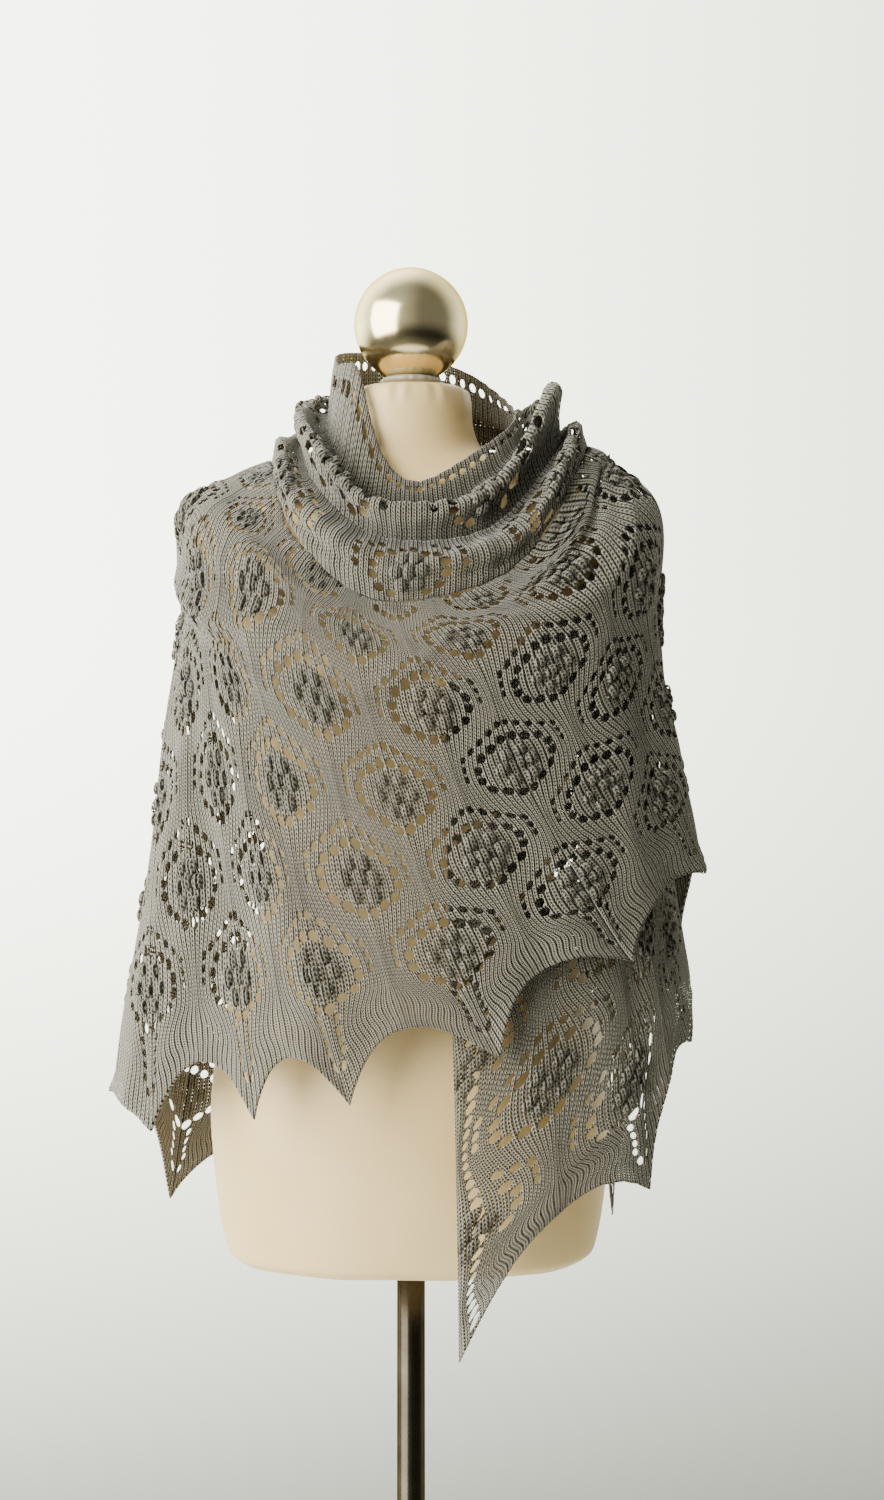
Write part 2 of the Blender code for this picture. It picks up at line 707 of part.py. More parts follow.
def build_cowl_band(collection, name, first, last, rows, low_gap):
    """One band of the cowl, a ring of wall between two of its loops."""
    chart = bmesh.new()
    bmesh.ops.create_grid(chart, x_segments=COWL_COLUMNS, y_segments=rows, size=0.5)

    def place_point(across, up, lift):
        azimuth = (across + 0.5) * 360.0
        facing = last - (up + 0.5) * (last - first)
        high_step = (cowl_loop(first, azimuth) - cowl_loop(first + 1, azimuth)).length
        low_step = (cowl_loop(last - 1, azimuth) - cowl_loop(last, azimuth)).length
        place = min(max(facing, first + COWL_GAP / high_step), last - low_gap / low_step)
        return clear_of_form(cowl_plain(azimuth, place)) + cowl_normal(azimuth, facing) * lift

    obj = wall_from_chart(collection, name, chart, place_point)
    close_ring(obj.data)
    return obj


def close_ring(mesh):
    """Join the two ends of a band that meet, and drop the end walls between them."""
    ring = bmesh.new()
    ring.from_mesh(mesh)
    bmesh.ops.remove_doubles(ring, verts=ring.verts, dist=0.00001)
    inner = [face for face in ring.faces
             if sum(len(edge.link_faces) > 2 for edge in face.edges) > 1]
    bmesh.ops.delete(ring, geom=inner, context="FACES")
    ring.to_mesh(mesh)
    ring.free()


def turned(collection, name, profile, steps, material):
    """A turned shape: its profile at +X runs down its outer side."""
    mesh = bpy.data.meshes.new(name)
    line = bmesh.new()
    points = [line.verts.new((radius, 0.0, height)) for radius, height in profile]
    for start, end in zip(points, points[1:]):
        line.edges.new((start, end))
    line.to_mesh(mesh)
    line.free()
    obj = add_object(collection, name, mesh, material)
    screw = obj.modifiers.new("Turn", "SCREW")
    screw.angle = 2 * math.pi
    screw.steps = steps
    screw.render_steps = steps
    screw.use_merge_vertices = True
    screw.merge_threshold = 0.0001
    screw.use_smooth_shade = True
    return obj


def build_form(collection):
    """The limbless form: a ball of faces drawn out through the rows of its table."""
    rows = len(FORM_SECTIONS)
    skin = bmesh.new()
    bmesh.ops.create_uvsphere(skin, u_segments=FORM_SEGMENTS, v_segments=rows + 1, radius=1.0)
    for vertex in skin.verts:
        latitude = math.asin(max(-1.0, min(1.0, vertex.co.z)))
        place = round((latitude / math.pi + 0.5) * (rows + 1)) - 1
        if place < 0:
            vertex.co = (0.0, 0.0, FORM_SECTIONS[0][0])
        elif place >= rows:
            vertex.co = (0.0, 0.0, FORM_SECTIONS[-1][0])
        else:
            azimuth = math.degrees(math.atan2(vertex.co.x, -vertex.co.y))
            vertex.co = form_point(azimuth, place)
    mesh = bpy.data.meshes.new("form_body")
    skin.to_mesh(mesh)
    skin.free()
    return add_object(collection, "form_body", mesh, "form cloth")


def build_stand(collection):
    """The neck cap, the ball on top, the pole and the round base."""
    cap_top = NECK_TOP + SEAM_GAP
    drop_to_ball = BALL_CENTRE_HEIGHT - SEAM_GAP
    under_ball = [(radius, drop_to_ball - math.sqrt(BALL_RADIUS ** 2 - radius ** 2))
                  for radius in (0.0, 0.011, 0.019, CAP_RADIUS - 0.004)]
    cap = under_ball + [
        (CAP_RADIUS, cap_top + 0.0090),
        (CAP_RADIUS, cap_top + 0.0050),
        (CAP_RADIUS - 0.003, cap_top + 0.0012),
        (CAP_RADIUS - 0.007, cap_top),
        (0.0, cap_top),
    ]
    turned(collection, "form_neck_cap", cap, 20, "form cloth")
    ball = bmesh.new()
    bmesh.ops.create_uvsphere(ball, u_segments=20, v_segments=12, radius=BALL_RADIUS)
    bmesh.ops.translate(ball, verts=ball.verts, vec=(0.0, 0.0, BALL_CENTRE_HEIGHT))
    mesh = bpy.data.meshes.new("form_ball")
    ball.to_mesh(mesh)
    ball.free()
    add_object(collection, "form_ball", mesh, "brass")
    pole_low = BASE_HEIGHT + SEAM_GAP
    pole_high = FORM_BOTTOM - SEAM_GAP
    pole = [(0.0, pole_high), (POLE_RADIUS, pole_high), (POLE_RADIUS, pole_low), (0.0, pole_low)]
    turned(collection, "stand_pole", pole, 16, "dark metal")
    base = [
        (0.0, BASE_HEIGHT),
        (BASE_RADIUS - 0.012, BASE_HEIGHT - 0.002),
        (BASE_RADIUS - 0.003, BASE_HEIGHT - 0.005),
        (BASE_RADIUS, BASE_HEIGHT - 0.009),
        (BASE_RADIUS, 0.0),
        (0.0, 0.0),
    ]
    turned(collection, "stand_base", base, 32, "dark metal")


def main():
    """Clear the scene and build every sub-part into one collection."""
    for obj in list(bpy.data.objects):
        bpy.data.objects.remove(obj, do_unlink=True)
    collection = bpy.data.collections.new("triangle shawl on dress form")
    bpy.context.scene.collection.children.link(collection)
    for name, first, last, top_drop, lines in STRETCHES:
        build_stretch(collection, name, first, last, top_drop, lines)
    build_tail(collection)
    for name, first, last, top_drop, low_drop in HIDDEN_STRETCHES:
        build_hidden_stretch(collection, name, first, last, top_drop, low_drop)
    for name, first, last, rows, low_gap in COWL_BANDS:
        build_cowl_band(collection, name, first, last, rows, low_gap)
    build_form(collection)
    build_stand(collection)


main()
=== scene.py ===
"""Looks of a lace triangle shawl wound round a dress form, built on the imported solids.

Metres, +Z up, the front of the form faces -Y. The cloth is knitted flat on a chart of stitches,
given its thickness there, and then laid on the same drape that the solids follow.
"""
import logging
import math
from dataclasses import dataclass, field
from enum import Enum
from typing import Callable, Optional, Sequence

import bmesh
import bpy
import numpy as np
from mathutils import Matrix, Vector
from mathutils.kdtree import KDTree


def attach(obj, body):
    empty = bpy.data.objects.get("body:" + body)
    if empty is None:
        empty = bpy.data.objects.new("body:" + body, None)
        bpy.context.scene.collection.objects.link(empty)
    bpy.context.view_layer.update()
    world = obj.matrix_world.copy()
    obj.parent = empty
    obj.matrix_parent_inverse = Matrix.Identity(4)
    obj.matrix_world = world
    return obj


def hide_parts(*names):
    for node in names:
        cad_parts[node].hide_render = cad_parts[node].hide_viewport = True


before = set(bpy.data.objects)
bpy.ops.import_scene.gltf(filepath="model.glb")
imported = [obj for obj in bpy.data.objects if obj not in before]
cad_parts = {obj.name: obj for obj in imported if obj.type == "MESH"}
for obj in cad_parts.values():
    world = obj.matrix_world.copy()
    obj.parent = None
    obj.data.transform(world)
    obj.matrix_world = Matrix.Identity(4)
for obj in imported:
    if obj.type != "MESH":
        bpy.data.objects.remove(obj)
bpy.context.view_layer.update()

LOG = logging.getLogger("shawl")
Array = np.ndarray

# The drape, as in the part's source.

# How far out and how high the inner face of the cloth hangs, from the neck line down.
# columns: half_width, front_reach, back_reach, side_height, front_height, back_height
SECTIONS = np.array([
    (0.098, 0.108, 0.086, 1.4450, 1.338, 1.462),
    (0.145, 0.119, 0.101, 1.4310, 1.305, 1.432),
    (0.190, 0.128, 0.113, 1.4150, 1.268, 1.394),
    (0.214, 0.134, 0.119, 1.3860, 1.225, 1.345),
    (0.211, 0.138, 0.124, 1.3000, 1.165, 1.270),
    (0.222, 0.143, 0.130, 1.1900, 1.085, 1.180),
    (0.236, 0.149, 0.137, 1.0750, 1.005, 1.070),
    (0.256, 0.155, 0.146, 0.9550, 0.920, 0.955),
    (0.272, 0.161, 0.154, 0.8500, 0.830, 0.850),
    (0.286, 0.167, 0.162, 0.7200, 0.715, 0.720),
    (0.296, 0.172, 0.169, 0.5800, 0.580, 0.580),
])
SECTION_BULGE = 0.035
HIP_HALF_WIDTH = 0.250
HIP_HALF_DEPTH = 0.150
LAYER_PITCH = 0.018
FORM_CLEARANCE = 0.0008

# columns: azimuth in degrees; height; rise of the scallop after this point; lean of the column
HEM_POINTS = np.array([
    (8.5, 0.650, 0.055, 0.00),
    (47.0, 0.789, 0.034, 0.00),
    (69.0, 0.911, 0.030, 0.00),
    (108.0, 0.945, 0.042, 0.00),
    (143.0, 0.850, 0.042, 0.00),
    (174.0, 0.785, 0.042, 0.00),
    (203.0, 0.745, 0.042, 0.00),
    (232.0, 0.738, 0.046, 0.06),
    (276.0, 0.860, 0.012, 0.16),
    (309.0, 0.839, 0.044, 0.24),
    (332.6, 0.857, 0.040, 0.30),
    (349.7, 0.871, 0.046, 0.34),
    (376.8, 0.910, 0.046, 0.36),
    (405.5, 0.988, 0.030, 0.34),
    (435.0, 1.058, 0.022, 0.28),
    (462.0, 1.058, 0.040, 0.18),
    (478.0, 0.941, 0.036, 0.08),
    (492.0, 0.830, 0.030, 0.00),
    (500.5, 0.712, 0.030, 0.00),
])
SCALLOP_POWER = 2.2
SCALLOP_FADE = 0.6

# columns: azimuth at the top, azimuth at the hem, drop where it starts, drop where it is full,
# half width, depth
FOLDS = [
    (283.0, 318.0, 0.16, 0.40, 0.030, -0.009),
    (305.0, 341.0, 0.12, 0.42, 0.028, 0.007),
    (268.0, 292.0, 0.18, 0.42, 0.030, 0.008),
    (240.0, 250.0, 0.15, 0.50, 0.040, -0.012),
    (210.0, 216.0, 0.12, 0.50, 0.045, 0.010),
    (186.0, 188.0, 0.10, 0.45, 0.045, -0.009),
    (160.0, 158.0, 0.12, 0.50, 0.045, 0.009),
    (126.0, 124.0, 0.15, 0.40, 0.040, -0.006),
    (390.0, 396.0, 0.20, 0.40, 0.040, 0.005),
    (438.0, 448.0, 0.12, 0.35, 0.030, -0.006),
    (455.0, 470.0, 0.12, 0.35, 0.030, 0.008),
]
# columns: azimuth at the left, azimuth at the right, drop at the left, middle and right,
# half width, depth
SWAGS = [
    (276.0, 338.0, 0.150, 0.135, 0.035, 0.018, -0.007),
    (276.0, 345.0, 0.105, 0.080, 0.010, 0.020, 0.006),
]
# Finer creases that only the looks have, in the same columns as the folds.
FINE_FOLDS = [
    (279.0, 300.0, 0.13, 0.30, 0.012, 0.0040),
    (289.0, 309.0, 0.20, 0.42, 0.013, 0.0034),
    (296.0, 325.0, 0.10, 0.36, 0.016, -0.0030),
    (256.0, 270.0, 0.20, 0.45, 0.014, 0.0040),
    (263.0, 281.0, 0.24, 0.46, 0.012, -0.0036),
    (318.0, 352.0, 0.22, 0.48, 0.022, 0.0024),
    (372.0, 386.0, 0.14, 0.34, 0.018, -0.0026),
    (402.0, 410.0, 0.10, 0.30, 0.014, 0.0034),
    (414.0, 421.0, 0.12, 0.34, 0.012, -0.0036),
    (424.0, 436.0, 0.08, 0.28, 0.013, 0.0040),
    (447.0, 458.0, 0.14, 0.36, 0.013, 0.0036),
    (22.0, 24.0, 0.30, 0.48, 0.018, 0.0030),
    (50.0, 50.0, 0.30, 0.44, 0.016, -0.0030),
    (82.0, 84.0, 0.20, 0.40, 0.016, 0.0036),
    (148.0, 147.0, 0.20, 0.44, 0.018, -0.0034),
    (173.0, 174.0, 0.16, 0.52, 0.016, 0.0036),
    (199.0, 203.0, 0.22, 0.50, 0.020, -0.0030),
    (224.0, 231.0, 0.14, 0.48, 0.015, 0.0042),
]
FINE_SWAGS = [
    (272.0, 322.0, 0.205, 0.205, 0.130, 0.009, -0.0070),
    (274.0, 330.0, 0.180, 0.172, 0.095, 0.010, 0.0062),
    (282.0, 352.0, 0.128, 0.112, 0.055, 0.007, -0.0035),
    (300.0, 372.0, 0.170, 0.150, 0.060, 0.009, 0.0030),
    (388.0, 438.0, 0.030, 0.085, 0.020, 0.008, -0.0050),
    (380.0, 446.0, 0.060, 0.125, 0.045, 0.009, 0.0040),
]
DRAWN_DROP = 0.10

# rows: azimuth; then radius and height of six loops, from the collar's edge to the roll's foot.
# The rows at 0, 75, 110, 312 and 335 degrees hang more freely than those of the solids.
COWL = [
    (0, (0.076, 1.415), (0.088, 1.392), (0.113, 1.388), (0.109, 1.362), (0.131, 1.335), (0.126, 1.307)),
    (40, (0.080, 1.440), (0.095, 1.410), (0.124, 1.410), (0.121, 1.378), (0.149, 1.364), (0.148, 1.338)),
    (75, (0.096, 1.476), (0.108, 1.462), (0.133, 1.508), (0.143, 1.456), (0.155, 1.468), (0.162, 1.447)),
    (110, (0.092, 1.506), (0.104, 1.476), (0.127, 1.496), (0.134, 1.463), (0.144, 1.472), (0.154, 1.459)),
    (145, (0.084, 1.540), (0.088, 1.500), (0.106, 1.506), (0.108, 1.480), (0.122, 1.484), (0.125, 1.468)),
    (180, (0.079, 1.555), (0.083, 1.514), (0.098, 1.517), (0.099, 1.486), (0.112, 1.489), (0.113, 1.471)),
    (215, (0.077, 1.556), (0.082, 1.514), (0.098, 1.516), (0.099, 1.484), (0.113, 1.486), (0.117, 1.466)),
    (250, (0.072, 1.548), (0.079, 1.500), (0.100, 1.502), (0.101, 1.468), (0.118, 1.470), (0.126, 1.451)),
    (285, (0.066, 1.530), (0.081, 1.472), (0.103, 1.480), (0.104, 1.449), (0.121, 1.453), (0.128, 1.436)),
    (312, (0.061, 1.526), (0.086, 1.440), (0.112, 1.450), (0.114, 1.414), (0.135, 1.397), (0.139, 1.372)),
    (335, (0.070, 1.450), (0.091, 1.403), (0.114, 1.403), (0.111, 1.375), (0.134, 1.350), (0.129, 1.318)),
]
# Creases of the cowl: azimuth and loop at the middle, half length in degrees, half width in
# loops, loops climbed over the half length, depth
COWL_CREASES = [
    (12.0, 2.05, 26.0, 0.16, 0.30, -0.0045),
    (52.0, 2.55, 24.0, 0.22, -0.25, -0.0070),
    (70.0, 1.60, 22.0, 0.20, 0.10, -0.0050),
    (338.0, 1.75, 24.0, 0.14, 0.25, -0.0045),
    (318.0, 2.30, 20.0, 0.13, -0.30, -0.0040),
    (300.0, 1.60, 26.0, 0.15, 0.20, -0.0040),
    (350.0, 3.95, 26.0, 0.16, 0.30, -0.0050),
    (25.0, 4.45, 28.0, 0.14, -0.30, -0.0045),
    (48.0, 3.85, 22.0, 0.18, 0.20, -0.0060),
    (326.0, 4.35, 24.0, 0.13, 0.25, -0.0040),
    (305.0, 3.80, 20.0, 0.14, -0.20, -0.0040),
    (96.0, 2.40, 24.0, 0.18, 0.15, -0.0040),
    (130.0, 1.90, 26.0, 0.16, -0.15, -0.0035),
    (172.0, 2.20, 30.0, 0.15, 0.20, -0.0040),
    (205.0, 4.10, 28.0, 0.14, -0.15, -0.0035),
    (236.0, 2.00, 26.0, 0.14, 0.20, -0.0040),
    (262.0, 3.90, 24.0, 0.14, 0.15, -0.0035),
]

# The dress form: height, half width, front reach, back reach.
FORM_SECTIONS = np.array([
    (0.7050, 0.150, 0.104, 0.098),
    (0.7085, 0.163, 0.114, 0.108),
    (0.7230, 0.172, 0.121, 0.115),
    (0.7800, 0.181, 0.128, 0.124),
    (0.8600, 0.185, 0.131, 0.131),
    (0.9500, 0.168, 0.121, 0.121),
    (1.0500, 0.134, 0.103, 0.098),
    (1.1400, 0.145, 0.112, 0.098),
    (1.2200, 0.168, 0.126, 0.104),
    (1.2900, 0.188, 0.115, 0.111),
    (1.3450, 0.2020, 0.097, 0.111),
    (1.3860, 0.2040, 0.084, 0.104),
    (1.4110, 0.1840, 0.074, 0.094),
    (1.4260, 0.1440, 0.065, 0.083),
    (1.4410, 0.0970, 0.059, 0.072),
    (1.4540, 0.0680, 0.056, 0.062),
    (1.4750, 0.0580, 0.055, 0.056),
    (1.4980, 0.0565, 0.055, 0.055),
    (1.5080, 0.0530, 0.052, 0.052),
    (1.5120, 0.0440, 0.043, 0.043),
])
FORM_BULGE = 0.04

# The knitting: one repeat of the lace, its cells and its stitches.
REPEAT_WIDTH = 0.128
REPEAT_HEIGHT = 0.139
CELLS_ACROSS = 26
CELLS_UP = 28
STITCHES_ACROSS = 31
STITCHES_UP = 42
CLUSTER_CELL = 20
CLOTH_LIFT = 0.0010
CLOTH_THICKNESS = 0.0034
# The hem and the ladders' edges are bound: how wide the binding is along each, and how thick the
# plain cloth is for its share of CLOTH_THICKNESS.
HEM_BINDING = 0.0035
LADDER_BINDING = 0.009
PLAIN_SHARE = 0.47
# The spine between two columns of clusters stands a little proud, from this row up.
SPINE_RAISE = 0.0011
SPINE_FIRST_ROW = 0.1


class Eyelet(Enum):
    """The sizes of the lace's holes: radius and how tall each is for its width."""

    LARGE = (0.0043, 1.0)
    SMALL = (0.0037, 1.0)
    LADDER = (0.0029, 1.38)
    LONG = (0.0031, 1.30)


# The right half of one lantern of eyelets, in cells from its cluster. The left half mirrors it.
LANTERN = [
    (1, 5, Eyelet.LARGE), (3, 4, Eyelet.LARGE), (5, 3, Eyelet.LARGE), (6, 1, Eyelet.LARGE),
    (6, -1, Eyelet.LARGE), (5, -3, Eyelet.LARGE), (3, -4, Eyelet.LARGE), (1, -5, Eyelet.LARGE),
    (1, 8, Eyelet.SMALL), (3, 7, Eyelet.SMALL), (5, 6, Eyelet.SMALL), (7, 5, Eyelet.SMALL),
    (9, 4, Eyelet.SMALL), (9, 2, Eyelet.LADDER), (9, 0, Eyelet.LADDER),
]
# The eyelets that lead from the lowest lantern into a point of the hem, in cells.
TIP_EYELETS = [(2, 13), (2, 11), (2, 9), (2, 7), (1, 5)]
# The bobbles of one cluster, in cells from its middle.
BOBBLES = [(-1.2, 2.3), (1.2, 2.3), (-2.3, 0.0), (0.0, 0.1), (2.3, 0.0), (-1.2, -2.3), (1.2, -2.3)]
BOBBLE_RADIUS = 0.0049
BOBBLE_SHAPE = (1.0, 1.10, 0.60)
# How much the bobbles differ in size, how far they stray, and how high their middles sit.
BOBBLE_UNEVEN = 0.16
BOBBLE_STRAY = 0.0011
BOBBLE_SEAT = 0.0016
EYELET_UNEVEN = 0.07
# How far the columns and the rows bend round a cluster, in repeats.
WARP_ACROSS = 0.070
WARP_UP = 0.026
# Painted shade darkens the wool round each cluster of bobbles: full and end of its reach, in repeats from
# its middle.
CLUSTER_PAINTED_SHADE = (0.09, 0.18)
# No cluster lies below these rows of the hem, so the painted shade fades out there.
HEM_PAINTED_SHADE = (0.40, 0.52)
COWL_OPENNESS = 0.42
HIDDEN_OPENNESS = 0.3
HIDDEN_AREA_SHARE = 0.82
# The cowl's table is softened: how far to each side it looks, and the weight of each side.
COWL_SOFT_TURN = 8.0
COWL_SIDE_WEIGHT = 0.3


def smooth_step(value: Array, low: float, high: float) -> Array:
    """0 below low, 1 above high, and a smooth ramp between them."""
    part = np.clip((value - low) / (high - low), 0.0, 1.0)
    return part * part * (3 - 2 * part)


def blend_rows(before: Array, start: Array, end: Array, after: Array, part: Array) -> Array:
    """Smooth value between two rows of a table, from the rows round them.

    Args:
        before, start, end, after: the four rows, evenly spaced.
        part: how far along from start to end, 0 to 1.

    Returns:
        The value there.
    """
    slope_start = (end - before) / 2
    slope_end = (after - start) / 2
    bend = 2 * start - 2 * end + slope_start + slope_end
    curve = -3 * start + 3 * end - 2 * slope_start - slope_end
    return ((bend * part + curve) * part + slope_start) * part + start


def catmull(rows: Array, place: Array) -> Array:
    """Smooth rows of an evenly spaced table.

    Args:
        rows: the table.
        place: where, counted in its rows, for each point.

    Returns:
        One row for each point.
    """
    last = len(rows) - 1
    place = np.clip(place, 0.0, float(last))
    row = np.minimum(place.astype(int), last - 1)
    part = (place - row)[:, None]
    return blend_rows(rows[np.maximum(row - 1, 0)], rows[row], rows[row + 1],
                      rows[np.minimum(row + 2, last)], part)


def unit(vectors: Array) -> Array:
    """The vectors at length one."""
    return vectors / np.maximum(np.linalg.norm(vectors, axis=1), 1e-12)[:, None]


class DressFormShape:
    """The skin of the dress form as a surface."""

    def reach(self, place: Array, ahead: Array) -> tuple[Array, Array, Array]:
        """Half width, reach towards a side and height of the skin.

        Args:
            place: row of the form's table.
            ahead: cosine of the azimuth.

        Returns:
            The half width, the reach and the height.
        """
        rows = catmull(FORM_SECTIONS, place)
        towards = smooth_step(ahead, -0.6, 0.6)
        return rows[:, 1], rows[:, 3] + (rows[:, 2] - rows[:, 3]) * towards, rows[:, 0]

    def point(self, azimuth: Array, place: Array) -> Array:
        """Points of the skin at azimuths in degrees and rows of the table.

        Args:
            azimuth: azimuths in degrees.
            place: rows of the form's table.

        Returns:
            The points.
        """
        angle = np.radians(azimuth)
        side = np.sin(angle)
        ahead = np.cos(angle)
        half_width, reach, height = self.reach(place, ahead)
        bulge = 1 + FORM_BULGE * np.sin(2 * angle) ** 2
        return np.stack([half_width * side * bulge, -reach * ahead * bulge, height], axis=1)

    def share(self, points: Array) -> Array:
        """How far out points are from the axis, as a share of the skin's own reach.

        Args:
            points: the points.

        Returns:
            Their shares, 1 on the skin and 9 above the form.
        """
        heights = FORM_SECTIONS[:, 0]
        row = np.clip(np.searchsorted(heights, points[:, 2], side="right") - 1, 0, len(heights) - 2)
        place = row + (points[:, 2] - heights[row]) / (heights[row + 1] - heights[row])
        angle = np.arctan2(points[:, 0], -points[:, 1])
        half_width, reach, _ = self.reach(place, np.cos(angle))
        side = points[:, 0] / half_width
        ahead = points[:, 1] / reach
        length = np.hypot(side, ahead)
        double = 2 * side * ahead / np.maximum(length * length, 1e-9)
        share = length / (1 + FORM_BULGE * double * double)
        return np.where(points[:, 2] >= heights[-1], 9.0, share)

    def clear(self, points: Array) -> Array:
        """Move points out until they lie just off the skin.

        Args:
            points: points of a cloth that rests on the form.

        Returns:
            The same points, moved where they were too deep.
        """
        step = 0.0005
        points = points.copy()
        near = np.nonzero(self.share(points) < 1.06)[0]
        for _ in range(4):
            if not len(near):
                break
            here = points[near]
            share = self.share(here)
            slope = np.stack([
                (self.share(here + step * axis) - self.share(here - step * axis)) / (2 * step)
                for axis in np.eye(3)], axis=1)
            steepness = np.maximum(np.linalg.norm(slope, axis=1), 1e-6)
            short = FORM_CLEARANCE - (share - 1) / steepness
            move = np.where((steepness > 1.0) & (short > 0), short, 0.0)
            points[near] = here + slope / steepness[:, None] * move[:, None]
            near = near[move > 0]
        return points


class CowlShape:
    """The gathered neck of the shawl as a surface: azimuth and loop in, point out."""

    def __init__(self) -> None:
        """Hold the table of the loops as one array."""
        self.angles = np.array([row[0] for row in COWL], float)
        self.table = np.array([row[1:] for row in COWL], float)

    def loops(self, azimuth: Array) -> Array:
        """The points of all loops at each azimuth, with the peaks of the table rounded off.

        Args:
            azimuth: azimuths in degrees.

        Returns:
            For each azimuth, one point to a loop.
        """
        soft = self._table_loops(azimuth) * (1 - 2 * COWL_SIDE_WEIGHT)
        for turn in (-COWL_SOFT_TURN, COWL_SOFT_TURN):
            near = self._table_loops(azimuth + turn) * COWL_SIDE_WEIGHT
            cosine = math.cos(math.radians(turn))
            sine = math.sin(math.radians(turn))
            soft[:, :, 0] += near[:, :, 0] * cosine + near[:, :, 1] * sine
            soft[:, :, 1] += near[:, :, 1] * cosine - near[:, :, 0] * sine
            soft[:, :, 2] += near[:, :, 2]
        return soft

    def _table_loops(self, azimuth: Array) -> Array:
        """The points of all loops at each azimuth, through the table's own rows.

        Args:
            azimuth: azimuths in degrees.

        Returns:
            For each azimuth, one point to a loop.
        """
        azimuth = azimuth % 360.0
        count = len(self.angles)
        row = np.searchsorted(self.angles, azimuth, side="right") - 1
        after = self.angles[(row + 1) % count] + np.where(row + 1 == count, 360.0, 0.0)
        part = ((azimuth - self.angles[row]) / (after - self.angles[row]))[:, None, None]
        values = blend_rows(self.table[(row - 1) % count], self.table[row],
                            self.table[(row + 1) % count], self.table[(row + 2) % count], part)
        angle = np.radians(azimuth)[:, None]
        return np.stack([values[:, :, 0] * np.sin(angle), -values[:, :, 0] * np.cos(angle),
                         values[:, :, 1]], axis=2)

    def plain(self, azimuth: Array, place: Array) -> Array:
        """Points between the loops, without creases.

        Args:
            azimuth: azimuths in degrees.
            place: places down the cowl, counted in loops.

        Returns:
            The points.
        """
        loops = self.loops(azimuth)
        last = loops.shape[1] - 1
        place = np.clip(place, 0.0, float(last))
        row = np.minimum(place.astype(int), last - 1)
        part = (place - row)[:, None]
        index = np.arange(len(place))
        return blend_rows(loops[index, np.maximum(row - 1, 0)], loops[index, row],
                          loops[index, row + 1], loops[index, np.minimum(row + 2, last)], part)

    def normal(self, azimuth: Array, place: Array) -> Array:
        """The way the cowl faces.

        Args:
            azimuth: azimuths in degrees.
            place: places down the cowl, counted in loops.

        Returns:
            Vectors of length one.
        """
        across = self.plain(azimuth + 1.5, place) - self.plain(azimuth - 1.5, place)
        upward = self.plain(azimuth, place - 0.08) - self.plain(azimuth, place + 0.08)
        return unit(np.cross(across, upward))

    def crease(self, azimuth: Array, place: Array) -> Array:
        """Depth of the soft creases.

        Args:
            azimuth: azimuths in degrees.
            place: places down the cowl, counted in loops.

        Returns:
            How far each point moves out.
        """
        depth = np.zeros(len(azimuth))
        for middle, loop, half_length, half_width, climb, height in COWL_CREASES:
            along = (azimuth - middle + 180.0) % 360.0 - 180.0
            part = along / half_length
            off = (place - loop + climb * part) / half_width
            depth += height * np.exp(-part * part - off * off)
        return depth * smooth_step(place, 0.0, 0.4) * (1 - smooth_step(place, 4.6, 5.0))


